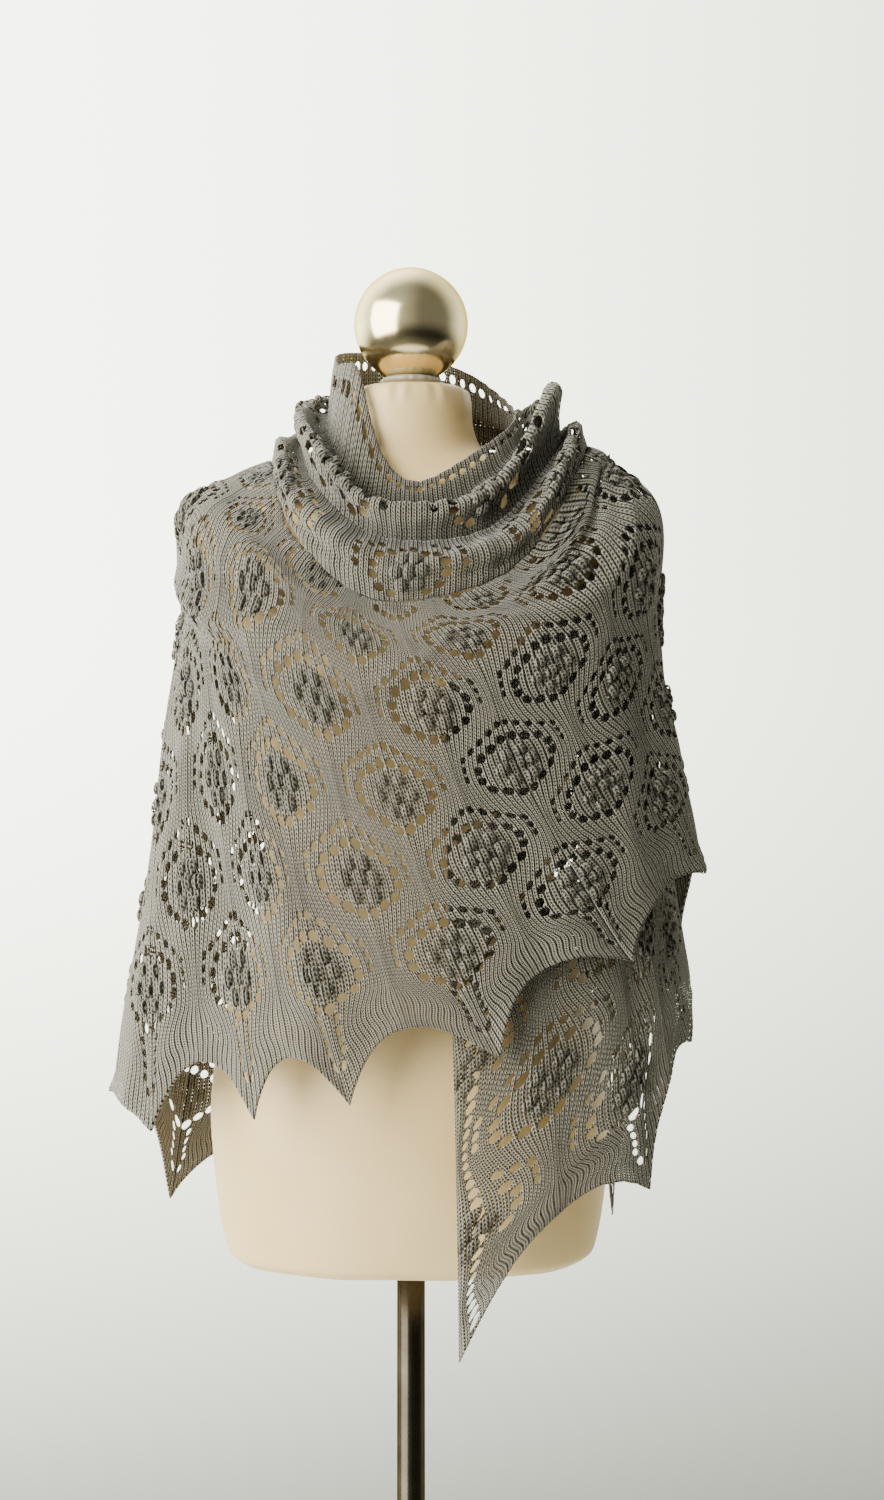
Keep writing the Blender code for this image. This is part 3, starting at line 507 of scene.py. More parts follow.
class Drape:
    """The hanging cloth as a surface: place along the hem and row of knitting in, point out."""

    def __init__(self, form: DressFormShape, cowl: CowlShape) -> None:
        """Work out the tables of arcs, profiles and hem drops.

        Args:
            form: the skin that the cloth rests on.
            cowl: the neck that its upper edge is drawn to.
        """
        self.form = form
        self.cowl = cowl
        self._build_arcs()
        self._build_profiles()
        self._build_hem()

    def _build_arcs(self) -> None:
        """Length round the hip oval for azimuths over several turns."""
        steps = 720
        middle = 2 * np.pi * (np.arange(steps) + 0.5) / steps
        rate = np.hypot(HIP_HALF_WIDTH * np.cos(middle), HIP_HALF_DEPTH * np.sin(middle))
        turn = np.concatenate([[0.0], np.cumsum(rate) * 2 * np.pi / steps])
        whole = np.concatenate([turn[:-1] + turn[-1] * lap for lap in (-1, 0, 1)] + [turn[-1:] * 2])
        self.arcs = whole
        self.arc_azimuths = -360.0 + 0.5 * np.arange(len(whole))

    def _build_profiles(self) -> None:
        """Drop below the neck line down the section table, at every half degree."""
        self.profile_steps = 100
        keys = np.repeat(np.arange(721), self.profile_steps + 1) / 2.0
        stations = np.tile(np.linspace(0, len(SECTIONS) - 1, self.profile_steps + 1), 721)
        points = self.section_point(keys, stations).reshape(721, -1, 3)
        runs = np.linalg.norm(np.diff(points, axis=1), axis=2)
        self.lengths = np.concatenate([np.zeros((721, 1)), np.cumsum(runs, axis=1)], axis=1)
        self.heights = points[:, :, 2]
        self.key_step = 10.0
        self.sorted_lengths = (self.lengths + self.key_step * np.arange(721)[:, None]).ravel()

    def _build_hem(self) -> None:
        """Drop of the line through the hem points, at close places along it."""
        self.hem_places = np.arange(0.0, len(HEM_POINTS) - 1 + 0.005, 0.01)
        drops = []
        for place in self.hem_places:
            azimuth = float(self.azimuth_of(self.hem_arc(np.array([place])))[0])
            height = np.interp(place, np.arange(len(HEM_POINTS)), HEM_POINTS[:, 1])
            key = int(round((azimuth % 360.0) * 2))
            drops.append(np.interp(-height, -self.heights[key], self.lengths[key]))
        self.hem_drops = np.array(drops)

    def arc_of(self, azimuth: Array) -> Array:
        """Length round the hip from the front to an azimuth in degrees."""
        return np.interp(azimuth, self.arc_azimuths, self.arcs)

    def azimuth_of(self, arc: Array) -> Array:
        """The azimuth in degrees at a length round the hip."""
        return np.interp(arc, self.arcs, self.arc_azimuths)

    def section_point(self, azimuth: Array, station: Array) -> Array:
        """Points of the plain cloth at azimuths and rows of the section table.

        Args:
            azimuth: azimuths in degrees.
            station: rows of the section table.

        Returns:
            The points.
        """
        rows = catmull(SECTIONS, station)
        angle = np.radians(azimuth)
        side = np.sin(angle)
        ahead = np.cos(angle)
        bulge = 1 + SECTION_BULGE * np.sin(2 * angle) ** 2
        towards = smooth_step(ahead, -0.6, 0.6)
        reach = rows[:, 2] + (rows[:, 1] - rows[:, 2]) * towards
        end_height = rows[:, 5] + (rows[:, 4] - rows[:, 5]) * towards
        height = rows[:, 3] * side * side + end_height * ahead * ahead
        return np.stack([rows[:, 0] * side * bulge, -reach * ahead * bulge, height], axis=1)

    def _station_at_key(self, key: Array, drop: Array) -> Array:
        """The row of the section table at a drop, for whole half degrees.

        Args:
            key: azimuths, counted in half degrees.
            drop: drops below the neck line.

        Returns:
            The rows.
        """
        columns = self.profile_steps + 1
        found = np.searchsorted(self.sorted_lengths, drop + self.key_step * key, side="right") - 1
        low = np.clip(found - key * columns, 0, self.profile_steps - 1)
        start = self.lengths[key, low]
        part = (drop - start) / (self.lengths[key, low + 1] - start)
        return (len(SECTIONS) - 1) * (low + part) / self.profile_steps

    def station(self, azimuth: Array, drop: Array) -> Array:
        """The row of the section table at a drop below the neck line.

        Args:
            azimuth: azimuths in degrees.
            drop: drops below the neck line.

        Returns:
            The rows.
        """
        place = (azimuth % 360.0) * 2
        key = place.astype(int) % 720
        part = place - np.floor(place)
        return self._station_at_key(key, drop) * (1 - part) + self._station_at_key(key + 1, drop) * part

    def hem_arc(self, place: Array) -> Array:
        """Length round the hip to a place counted in hem points."""
        return np.interp(place, np.arange(len(HEM_POINTS)), self.arc_of(HEM_POINTS[:, 0]))

    def hem_drop(self, place: Array) -> Array:
        """Drop of the line through the hem points."""
        return np.interp(place, self.hem_places, self.hem_drops)

    def column_azimuth(self, place: Array, drop: Array) -> Array:
        """Azimuth of a knitted column at a drop: the columns lean, and meet the hem."""
        lean = np.interp(place, np.arange(len(HEM_POINTS)), HEM_POINTS[:, 3])
        return self.azimuth_of(self.hem_arc(place) - lean * (self.hem_drop(place) - drop))

    def row_drop(self, place: Array, row: Array) -> Array:
        """Drop of a knitted row, counted in repeats up from the hem.

        Args:
            place: places along the hem.
            row: rows of knitting, in repeats.

        Returns:
            The drops.
        """
        step = np.minimum(place.astype(int), len(HEM_POINTS) - 2)
        part = place - step
        rise = HEM_POINTS[step, 2] * (1 - np.abs(2 * part - 1) ** SCALLOP_POWER)
        fade = np.maximum(0.0, 1 - row / SCALLOP_FADE)
        return self.hem_drop(place) - row * REPEAT_HEIGHT - rise * fade

    def folds(self, azimuth: Array, drop: Array) -> Array:
        """Sum of the folds and swags at places on the cloth.

        Args:
            azimuth: azimuths in degrees.
            drop: drops below the neck line.

        Returns:
            How far each point moves out.
        """
        depth = np.zeros(len(azimuth))
        here = self.arc_of(azimuth)
        for top, bottom, start, full, half_width, height in FOLDS + FINE_FOLDS:
            part = smooth_step(drop, start, full)
            line = self.arc_of(top + (bottom - top) * part)
            depth += height * part * np.exp(-((here - line) / half_width) ** 2)
        for left, right, low_left, low_middle, low_right, half_width, height in SWAGS + FINE_SWAGS:
            part = np.clip((azimuth - left) / (right - left), 0.0, 1.0)
            low = 2 * low_middle - (low_left + low_right) / 2
            line = (1 - part) ** 2 * low_left + 2 * part * (1 - part) * low + part ** 2 * low_right
            window = np.sqrt(np.maximum(np.sin(np.pi * part), 0.0))
            depth += height * window * np.exp(-((drop - line) / half_width) ** 2)
        return depth

    def normal(self, azimuth: Array, station: Array) -> Array:
        """The way the plain cloth faces.

        Args:
            azimuth: azimuths in degrees.
            station: rows of the section table.

        Returns:
            Vectors of length one.
        """
        across = self.section_point(azimuth + 1.0, station) - self.section_point(azimuth - 1.0, station)
        low = np.minimum(station + 0.05, len(SECTIONS) - 1)
        high = np.maximum(station - 0.05, 0.0)
        upward = self.section_point(azimuth, high) - self.section_point(azimuth, low)
        return unit(np.cross(across, upward))

    def cloth(self, azimuth: Array, drop: Array) -> tuple[Array, Array]:
        """Points of the draped cloth and the way it faces.

        Args:
            azimuth: azimuths in degrees.
            drop: drops below the neck line.

        Returns:
            The points, and vectors of length one.
        """
        station = self.station(azimuth, drop)
        normal = self.normal(azimuth, station)
        stand = LAYER_PITCH * smooth_step(azimuth, 262.0, 352.0) + self.folds(azimuth, drop)
        return self.section_point(azimuth, station) + normal * stand[:, None], normal

    def lay(self, azimuth: Array, drop: Array, lift: Array, drawn: bool) -> Array:
        """Points of the cloth, clear of the form and lifted off its inner face.

        Args:
            azimuth: azimuths in degrees.
            drop: drops below the neck line.
            lift: how far off the inner face.
            drawn: whether the upper edge is drawn to the foot of the cowl.

        Returns:
            The points.
        """
        point, facing = self.cloth(azimuth, drop)
        if drawn:
            pull = (1 - smooth_step(drop, 0.0, DRAWN_DROP))[:, None]
            edge, _ = self.cloth(azimuth, np.zeros(len(azimuth)))
            foot = np.full(len(azimuth), float(self.cowl.table.shape[1] - 1))
            point = point + (self.cowl.plain(azimuth, foot) - self.form.clear(edge)) * pull
            facing = unit(facing * (1 - pull) + self.cowl.normal(azimuth, foot) * pull)
        return self.form.clear(point) + facing * lift[:, None]


def warp(place: Array, row: Array) -> tuple[Array, Array]:
    """Bend the columns and rows round the clusters, as decreases do in real lace.

    Args:
        place: places along the hem, in repeats.
        row: rows of knitting, in repeats.

    Returns:
        The bent places and rows.
    """
    fade = smooth_step(row, 0.05, 0.45)
    storey = 2 * np.pi * (row - CLUSTER_CELL / CELLS_UP)
    column = 2 * np.pi * place
    return (place + WARP_ACROSS * np.sin(column) * np.cos(storey) * fade,
            row + WARP_UP * np.cos(column) * np.sin(storey) * fade)


# Materials.


class Socket:
    """A shader value that Python's operators work on."""

    def __init__(self, maker: "MaterialMaker", link: bpy.types.NodeSocket) -> None:
        """Hold the link and the maker that adds nodes for it."""
        self.maker = maker
        self.link = link

    def _math(self, operation: str, *values: object) -> "Socket":
        """Add a Math node on this value and others."""
        return self.maker.node("ShaderNodeMath", {"operation": operation}, list(values))

    def __add__(self, other: object) -> "Socket":
        """Sum."""
        return self._math("ADD", self, other)

    __radd__ = __add__

    def __mul__(self, other: object) -> "Socket":
        """Product."""
        return self._math("MULTIPLY", self, other)

    def __sub__(self, other: object) -> "Socket":
        """Difference."""
        return self._math("SUBTRACT", self, other)

    def __rsub__(self, other: object) -> "Socket":
        """Difference the other way round."""
        return self._math("SUBTRACT", other, self)

    def __lt__(self, other: object) -> "Socket":
        """1 where this value is smaller."""
        return self._math("LESS_THAN", self, other)

    def fraction(self) -> "Socket":
        """The part after the whole number."""
        return self._math("FRACT", self)

    def absolute(self) -> "Socket":
        """The size without its sign."""
        return self._math("ABSOLUTE", self)

    def sine(self) -> "Socket":
        """The sine."""
        return self._math("SINE", self)

    def smooth(self, low: float, high: float) -> "Socket":
        """0 below low, 1 above high, and a smooth ramp between them."""
        return self.maker.node("ShaderNodeMapRange", {"interpolation_type": "SMOOTHSTEP"},
                               {"Value": self, "From Min": low, "From Max": high})


class MaterialMaker:
    """Builds one node material."""

    def __init__(self, name: str) -> None:
        """Start a material with a Principled shader.

        Args:
            name: the material's name.
        """
        self.material = bpy.data.materials.new(name)
        self.material.use_nodes = True
        self.tree = self.material.node_tree
        self.shader = self.tree.nodes["Principled BSDF"]

    def _fill(self, socket: bpy.types.NodeSocket, value: object) -> None:
        """Link a value to a socket, or set it.

        Args:
            socket: the input.
            value: a shader value or a plain one.
        """
        if isinstance(value, Socket):
            self.tree.links.new(value.link, socket)
        else:
            socket.default_value = value

    def node(self, kind: str, settings: dict, values: object, output: object = 0) -> Socket:
        """Add one node.

        Args:
            kind: the node's type.
            settings: its own settings, set first.
            values: what its sockets hold, as a list in order or a dict by name.
            output: the socket that is given back, by number or name.

        Returns:
            The chosen output.
        """
        made = self.tree.nodes.new(kind)
        for key, value in settings.items():
            setattr(made, key, value)
        pairs = values.items() if isinstance(values, dict) else enumerate(values)
        for key, value in pairs:
            self._fill(made.inputs[key], value)
        return Socket(self, made.outputs[output])

    def mix(self, part: object, low: object, high: object) -> Socket:
        """Mix two colours by a part from 0 to 1.

        Args:
            part: how much of the second.
            low: the first colour.
            high: the second.

        Returns:
            The mixed colour.
        """
        made = self.tree.nodes.new("ShaderNodeMix")
        made.data_type = "RGBA"
        self._fill(made.inputs[0], part)
        self._fill(made.inputs[6], low)
        self._fill(made.inputs[7], high)
        return Socket(self, made.outputs[2])

    def noise(self, vector: Socket, scale: float, detail: float = 2.0) -> Socket:
        """Noise of a scale, 0 to 1."""
        return self.node("ShaderNodeTexNoise", {},
                         {"Vector": vector, "Scale": scale, "Detail": detail}, "Fac")

    def position(self) -> Socket:
        """The point in the object's own coordinates."""
        return self.node("ShaderNodeTexCoord", {}, [], "Object")

    def stitch_map(self) -> tuple[Socket, Socket]:
        """The stitches counted across and up.

        Returns:
            The count across, and the count up.
        """
        uv = self.node("ShaderNodeUVMap", {"uv_map": "stitch"}, [])
        parts = self.tree.nodes.new("ShaderNodeSeparateXYZ")
        self.tree.links.new(uv.link, parts.inputs[0])
        return Socket(self, parts.outputs[0]), Socket(self, parts.outputs[1])

    def attribute(self, name: str) -> Socket:
        """A value that the mesh holds at its points."""
        return self.node("ShaderNodeAttribute", {"attribute_name": name}, [], "Fac")

    def bump(self, height: Socket, strength: float, distance: float) -> Socket:
        """The normal of a height."""
        return self.node("ShaderNodeBump", {},
                         {"Strength": strength, "Distance": distance, "Height": height}, "Normal")

    def finish(self, **inputs: object) -> bpy.types.Material:
        """Set the shader's sockets, their names written with underscores.

        Args:
            inputs: the values by socket name.

        Returns:
            The material.
        """
        for key, value in inputs.items():
            self._fill(self.shader.inputs[key.replace("_", " ")], value)
        return self.material


@dataclass(frozen=True)
class YarnFinish:
    """Soft grey wool, knitted: two legs to a stitch, and small gaps between the columns, with painted shade
    in the gaps and low in each stitch.
    """

    name: str = "grey_wool"
    # The darker colour is painted shade, for the gaps between the strands; the lighter one is the wool's
    # own colour.
    shade: tuple = (0.010, 0.009, 0.006, 1.0)
    light: tuple = (0.330, 0.298, 0.232, 1.0)
    slant: float = 0.9

    def build(self) -> bpy.types.Material:
        """Make the material.

        Returns:
            The material.
        """
        maker = MaterialMaker(self.name)
        across, up = maker.stitch_map()
        place = maker.position()
        wander = maker.noise(place, 55.0, 2.0) - 0.5
        column = (across + wander * 0.35).fraction() - 0.5
        side = column.absolute()
        leg = 1.0 - ((side - 0.25) * 4.0).absolute()
        row = (up + side * self.slant * 2.0 + wander * 0.3).fraction()
        along = (row * math.pi).sine()
        height = leg * 0.55 + along * 0.45
        fibre = maker.noise(place, 900.0, 3.0)
        mottle = maker.noise(place, 14.0, 3.0)
        # The grooves between the columns shape the bump and darken the colour as painted shade; body adds
        # painted shade low in each stitch, with the fibres and mottle as the wool's own uneven tone.
        groove = 1.0 - side.smooth(0.27, 0.47) * 0.92
        body = height.smooth(0.15, 0.90) * groove * 0.80 + fibre * 0.20 + mottle * 0.12
        body = body.smooth(0.15, 0.84)
        # The attribute read here holds painted shade round the clusters and in the cowl's valleys; it
        # darkens the colour.
        painted_shade = maker.attribute("painted_shade")
        colour = maker.mix(body * (1.0 - painted_shade * 0.36), self.shade, self.light)
        openness = maker.attribute("open")
        gap = side.smooth(0.30, 0.48) * (1.0 - along.smooth(0.40, 0.90))
        solid = gap < (1.0 - openness * 0.75)
        rough = 0.86 + fibre * 0.1
        normal = maker.bump(height * groove + fibre * 0.25, 1.0, 0.0014)
        return maker.finish(Base_Color=colour, Roughness=rough, Normal=normal, Alpha=solid,
                            Sheen_Weight=0.35, Sheen_Roughness=0.45, Specular_IOR_Level=0.25)


@dataclass(frozen=True)
class BobbleFinish:
    """The same wool wound into bobbles, with strands that run up them, painted darker than the wool as
    shade, and darkest between the strands.
    """

    name: str = "grey_wool_bobble_painted_shade"
    # The lighter colour is about half the wool's: painted shade of the clumps of bobbles; the darker one is
    # the painted shade between the strands.
    shade: tuple = (0.016, 0.014, 0.010, 1.0)
    light: tuple = (0.160, 0.144, 0.110, 1.0)

    def build(self) -> bpy.types.Material:
        """Make the material.

        Returns:
            The material.
        """
        maker = MaterialMaker(self.name)
        across, _ = maker.stitch_map()
        place = maker.position()
        strand = ((across * 2.2 + maker.noise(place, 90.0) * 0.6).fraction() * math.pi).sine()
        fibre = maker.noise(place, 900.0, 3.0)
        # The colour follows the strands: painted shade between them, with the fibres as the wool's own
        # tone.
        body = (strand * 0.7 + fibre * 0.3).smooth(0.1, 0.95)
        colour = maker.mix(body, self.shade, self.light)
        normal = maker.bump(strand + fibre * 0.2, 0.9, 0.0011)
        return maker.finish(Base_Color=colour, Roughness=0.88, Normal=normal,
                            Sheen_Weight=0.3, Sheen_Roughness=0.45, Specular_IOR_Level=0.25)


@dataclass(frozen=True)
class SatinFinish:
    """Cream satin stretched over the form."""

    name: str = "cream_satin"
    shade: tuple = (0.72, 0.50, 0.21, 1.0)
    light: tuple = (0.93, 0.71, 0.37, 1.0)

    def build(self) -> bpy.types.Material:
        """Make the material.

        Returns:
            The material.
        """
        maker = MaterialMaker(self.name)
        place = maker.position()
        soft = maker.noise(place, 5.0, 2.0)
        stretched = maker.node("ShaderNodeMapping", {},
                               {"Vector": place, "Scale": (900.0, 900.0, 2600.0)})
        weave = maker.noise(stretched, 1.0, 1.0)
        colour = maker.mix((soft * 0.8 + weave * 0.2).smooth(0.25, 0.75), self.shade, self.light)
        rough = 0.40 + weave * 0.10
        normal = maker.bump(weave * 0.15 + soft * 0.5, 0.25, 0.0016)
        return maker.finish(Base_Color=colour, Roughness=rough, Normal=normal,
                            Sheen_Weight=0.25, Sheen_Roughness=0.35, Specular_IOR_Level=0.45)


@dataclass(frozen=True)
class MetalFinish:
    """Polished metal with faint wear."""

    name: str
    dull: tuple
    bright: tuple
    roughness: float
    rim: tuple

    def build(self) -> bpy.types.Material:
        """Make the material.

        Returns:
            The material.
        """
        maker = MaterialMaker(self.name)
        place = maker.position()
        cloud = maker.noise(place, 18.0, 3.0)
        scratch = maker.noise(place, 240.0, 2.0)
        colour = maker.mix(cloud.smooth(0.3, 0.7), self.dull, self.bright)
        rough = cloud * 0.06 + scratch * 0.05 + self.roughness
        normal = maker.bump(cloud, 0.05, 0.001)
        return maker.finish(Base_Color=colour, Roughness=rough, Normal=normal, Metallic=1.0,
                            Specular_Tint=self.rim)


@dataclass(frozen=True)
class FloorFinish:
    """Plain pale floor."""

    name: str = "pale_floor"
    colour: tuple = (0.62, 0.61, 0.57, 1.0)

    def build(self) -> bpy.types.Material:
        """Make the material.

        Returns:
            The material.
        """
        maker = MaterialMaker(self.name)
        cloud = maker.noise(maker.position(), 3.0, 3.0)
        colour = maker.mix(cloud, self.colour, (0.68, 0.67, 0.63, 1.0))
        return maker.finish(Base_Color=colour, Roughness=0.8)


# Pieces.


def add_piece(mesh: bpy.types.Mesh, name: str, materials: Sequence[bpy.types.Material]) -> bpy.types.Object:
    """Link a finished mesh as a piece of the object.

    Args:
        mesh: the mesh, with its place in it.
        name: the piece's name.
        materials: its materials.

    Returns:
        The object.
    """
    mesh.name = name
    mesh.materials.clear()
    for material in materials:
        mesh.materials.append(material)
    mesh.shade_smooth()
    obj = bpy.data.objects.new(name, mesh)
    bpy.context.scene.collection.objects.link(obj)
    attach(obj, "root")
    return obj


def mesh_of(shape: bmesh.types.BMesh, name: str) -> bpy.types.Mesh:
    """Turn a bmesh into a mesh and free it.

    Args:
        shape: the bmesh.
        name: the mesh's name.

    Returns:
        The mesh.
    """
    mesh = bpy.data.meshes.new(name)
    shape.to_mesh(mesh)
    shape.free()
    return mesh


@dataclass
class LaceChart:
    """A flat piece of the lace: X runs along the hem and Y up the rows, in metres.

    It is a grid of cells with an eyelet wherever the lantern's chart has one. Its wall is
    thickened while it is flat, and its bobbles stand on it.
    """

    name: str
    first: float
    last: float
    top_row: Callable[[Array], Array]
    cluster_row: int = CLUSTER_CELL
    lowest_lantern: float = 0.35
    lanterns: bool = True
    half_lanterns: bool = True
    ladder_columns: tuple = ()
    ladder_rows: tuple = ()
    thick_edges: bool = True
    eyelets: list = field(default_factory=list)

    def build(self) -> bpy.types.Mesh:
        """Make the flat wall with its bobbles.

        Returns:
            A mesh with two material slots in use.
        """
        shape = self._grid()
        self._cut_eyelets(shape)
        mesh = mesh_of(shape, self.name)
        walled = self._thicken(mesh)
        self._add_bobbles(walled)
        return walled

    def _grid(self) -> bmesh.types.BMesh:
        """The grid of cells, trimmed to its upper edge, with its eyelets marked.

        Returns:
            The grid.
        """
        across = round((self.last - self.first) * CELLS_ACROSS)
        reach = self.top_row(np.linspace(self.first, self.last, 40))
        rows = int(math.ceil(float(np.max(reach)) * CELLS_UP))
        shape = bmesh.new()
        bmesh.ops.create_grid(shape, x_segments=across, y_segments=rows, size=0.5)
        places = self.first + (np.array([v.co.x for v in shape.verts]) + 0.5) * (self.last - self.first)
        limits = self.top_row(places)
        half = 0.5 / CELLS_UP
        spare = []
        self.eyelets = []
        for vertex, place, limit in zip(shape.verts, places, limits):
            column = round(place * CELLS_ACROSS)
            line = round((vertex.co.y + 0.5) * rows)
            row = line / CELLS_UP
            if row > limit + half:
                spare.append(vertex)
            elif row > limit - half:
                row = limit
            spine = column % (CELLS_ACROSS // 2) == 0 and row > SPINE_FIRST_ROW
            vertex.co = (column / CELLS_ACROSS * REPEAT_WIDTH, row * REPEAT_HEIGHT,
                         SPINE_RAISE if spine else 0.0)
            if row < limit - 3 * half and line > 1:
                kind = self._eyelet_at(column, line)
                if kind is not None:
                    self.eyelets.append((vertex, kind))
        bmesh.ops.delete(shape, geom=spare, context="VERTS")
        self.eyelets = [(v, kind) for v, kind in self.eyelets if v.is_valid and not v.is_boundary]
        return shape

    def _eyelet_at(self, column: int, line: int) -> Optional[Eyelet]:
        """The eyelet that the chart has at a crossing of the grid, or None.

        Args:
            column: the crossing's column of cells.
            line: its line of cells.

        Returns:
            Its kind, or None.
        """
        edge_left = column - round(self.first * CELLS_ACROSS)
        edge_right = round(self.last * CELLS_ACROSS) - column
        if min(edge_left, edge_right) < 1:
            return None
        for offset, every in self.ladder_columns:
            near = edge_left if offset > 0 else edge_right
            if near == abs(offset):
                return Eyelet.LONG if line % every == 0 else None
            if near < abs(offset) + 2:
                return None
        for at, every in self.ladder_rows:
            if line == at:
                return Eyelet.LONG if column % every == 0 else None
            if abs(line - at) < 2:
                return None
        if not self.lanterns:
            return None
        from_tip = abs(column - CELLS_ACROSS * round(column / CELLS_ACROSS))
        if self.thick_edges and (from_tip, line) in TIP_EYELETS:
            return Eyelet.LADDER
        for shift in (0, 1):
            if shift and not self.half_lanterns:
                continue
            middle = self.cluster_row + shift * CELLS_UP // 2
            across = column - shift * CELLS_ACROSS // 2
            across -= CELLS_ACROSS * round(across / CELLS_ACROSS)
            up = line - middle
            lap = round((up - 2) / CELLS_UP)
            up -= CELLS_UP * lap
            centre = (middle + CELLS_UP * lap) / CELLS_UP
            if centre < self.lowest_lantern:
                continue
            for lantern_across, lantern_up, kind in LANTERN:
                if abs(across) == lantern_across and up == lantern_up:
                    return kind
        return None

    def _cut_eyelets(self, shape: bmesh.types.BMesh) -> None:
        """Open each marked crossing with a vertex bevel, and round its rim.

        Args:
            shape: the grid.
        """
        centres = [(vertex.co.copy(), kind) for vertex, kind in self.eyelets]
        if not centres:
            return
        tree = KDTree(len(centres))
        for index, (centre, _) in enumerate(centres):
            tree.insert(centre, index)
        tree.balance()
        holes = []
        rims = []
        for kind in Eyelet:
            chosen = [vertex for vertex, own in self.eyelets if own is kind]
            if not chosen:
                continue
            made = bmesh.ops.bevel(shape, geom=chosen, offset=kind.value[0], offset_type="OFFSET",
                                   segments=3, profile=0.5, affect="VERTICES",
                                   clamp_overlap=False, material=-1)
            holes += made["faces"]
            rims += made["verts"]
        bmesh.ops.delete(shape, geom=list(set(holes)), context="FACES")
        for vertex in rims:
            if not vertex.is_valid:
                continue
            centre, index, _ = tree.find(vertex.co)
            radius, tall = centres[index][1].value
            uneven = 1 + EYELET_UNEVEN * math.sin(centre.x * 913.0 + centre.y * 571.0)
            angle = math.degrees(math.atan2(vertex.co.y - centre.y, vertex.co.x - centre.x)) % 360
            # The bevel leaves three rim points to a quarter, which go to every 30 degrees.
            quarter, rest = divmod(angle + 1.0, 90.0)
            turn = quarter * 90.0 + (0.0 if rest < 3 else 30.0 if rest < 46 else 60.0)
            turn = math.radians(turn)
            vertex.co.x = centre.x + radius * uneven * math.cos(turn)
            vertex.co.y = centre.y + radius * uneven * tall * math.sin(turn)
            vertex.co.z = 0.0

    def _thicken(self, mesh: bpy.types.Mesh) -> bpy.types.Mesh:
        """Give the flat lace its thickness, more along its bound edges.

        Args:
            mesh: the flat lace, which is used up.

        Returns:
            The wall.
        """
        obj = bpy.data.objects.new(self.name, mesh)
        bpy.context.scene.collection.objects.link(obj)
        group = obj.vertex_groups.new(name="thick")
        plain = []
        bound = []
        for vertex in mesh.vertices:
            near = vertex.co.y < HEM_BINDING
            for offset, _ in self.ladder_columns:
                edge = self.first if offset > 0 else self.last
                near = near or abs(vertex.co.x - edge * REPEAT_WIDTH) < LADDER_BINDING
            (bound if near and self.thick_edges else plain).append(vertex.index)
        group.add(plain, PLAIN_SHARE, "REPLACE")
        group.add(bound, 1.0, "REPLACE")
        solidify = obj.modifiers.new("Wall", "SOLIDIFY")
        solidify.thickness = CLOTH_THICKNESS
        solidify.offset = 0.0
        solidify.use_even_offset = False
        solidify.vertex_group = "thick"
        graph = bpy.context.evaluated_depsgraph_get()
        walled = bpy.data.meshes.new_from_object(obj.evaluated_get(graph))
        bpy.data.objects.remove(obj)
        bpy.data.meshes.remove(mesh)
        return walled

    def _add_bobbles(self, mesh: bpy.types.Mesh) -> None:
        """Stand the bobbles of each cluster on the flat wall.

        Args:
            mesh: the wall.
        """
        spots = self._bobble_spots() if self.lanterns else []
        if not spots:
            return
        ball = bmesh.new()
        bmesh.ops.create_uvsphere(ball, u_segments=8, v_segments=6, radius=1.0)
        points = np.array([vertex.co for vertex in ball.verts])
        corners = [[vertex.index for vertex in face.verts] for face in ball.faces]
        ball.free()
        points *= np.array(BOBBLE_SHAPE)
        everywhere = np.concatenate([points * size + middle for middle, size in spots])
        faces = [[corner + len(points) * lap for corner in face]
                 for lap in range(len(spots)) for face in corners]
        bobbles = bpy.data.meshes.new(self.name + "_bobbles")
        bobbles.from_pydata(everywhere.tolist(), [], faces)
        bobbles.polygons.foreach_set("material_index", np.ones(len(faces), np.int32))
        joined = bmesh.new()
        joined.from_mesh(mesh)
        joined.from_mesh(bobbles)
        joined.to_mesh(mesh)
        joined.free()
        bpy.data.meshes.remove(bobbles)

    def _bobble_spots(self) -> list:
        """The middle and the radius of each bobble of the flat piece.

        Returns:
            Pairs of the two.
        """
        spots = []
        for lap in range(math.floor(self.first) - 1, math.ceil(self.last) + 1):
            for shift in (0, 1) if self.half_lanterns else (0,):
                column = lap * CELLS_ACROSS + shift * CELLS_ACROSS // 2
                for storey in range(-1, 8):
                    line = self.cluster_row + shift * CELLS_UP // 2 + storey * CELLS_UP
                    if line / CELLS_UP < self.lowest_lantern:
                        continue
                    spots += self._cluster_spots(column, line)
        return spots

    def _cluster_spots(self, column: int, line: int) -> list:
        """The bobbles of one cluster that lie on the piece.

        Args:
            column: the cluster's column of cells.
            line: its line of cells.

        Returns:
            Pairs of a middle and a radius.
        """
        spots = []
        for across, up in BOBBLES:
            place = (column + across) / CELLS_ACROSS
            row = (line + up) / CELLS_UP
            limit = float(self.top_row(np.array([place]))[0])
            if self.first <= place < self.last and 0.1 < row < limit - 0.05:
                size = BOBBLE_RADIUS * (1 + BOBBLE_UNEVEN * math.sin(place * 71.0 + row * 37.0))
                stray = np.array([math.sin(place * 97.0 + row * 61.0),
                                  math.cos(place * 53.0 - row * 83.0), 0.6])
                seat = np.array([place * REPEAT_WIDTH, row * REPEAT_HEIGHT, BOBBLE_SEAT])
                spots.append((seat + BOBBLE_STRAY * stray, size))
        return spots


def read_points(mesh: bpy.types.Mesh) -> Array:
    """The vertices of a mesh as an array.

    Args:
        mesh: the mesh.

    Returns:
        One row for each vertex.
    """
    points = np.zeros(len(mesh.vertices) * 3, np.float32)
    mesh.vertices.foreach_get("co", points)
    return points.reshape(-1, 3).astype(float)


def write_points(mesh: bpy.types.Mesh, points: Array) -> None:
    """Move the vertices of a mesh to the points of an array."""
    mesh.vertices.foreach_set("co", points.astype(np.float32).ravel())


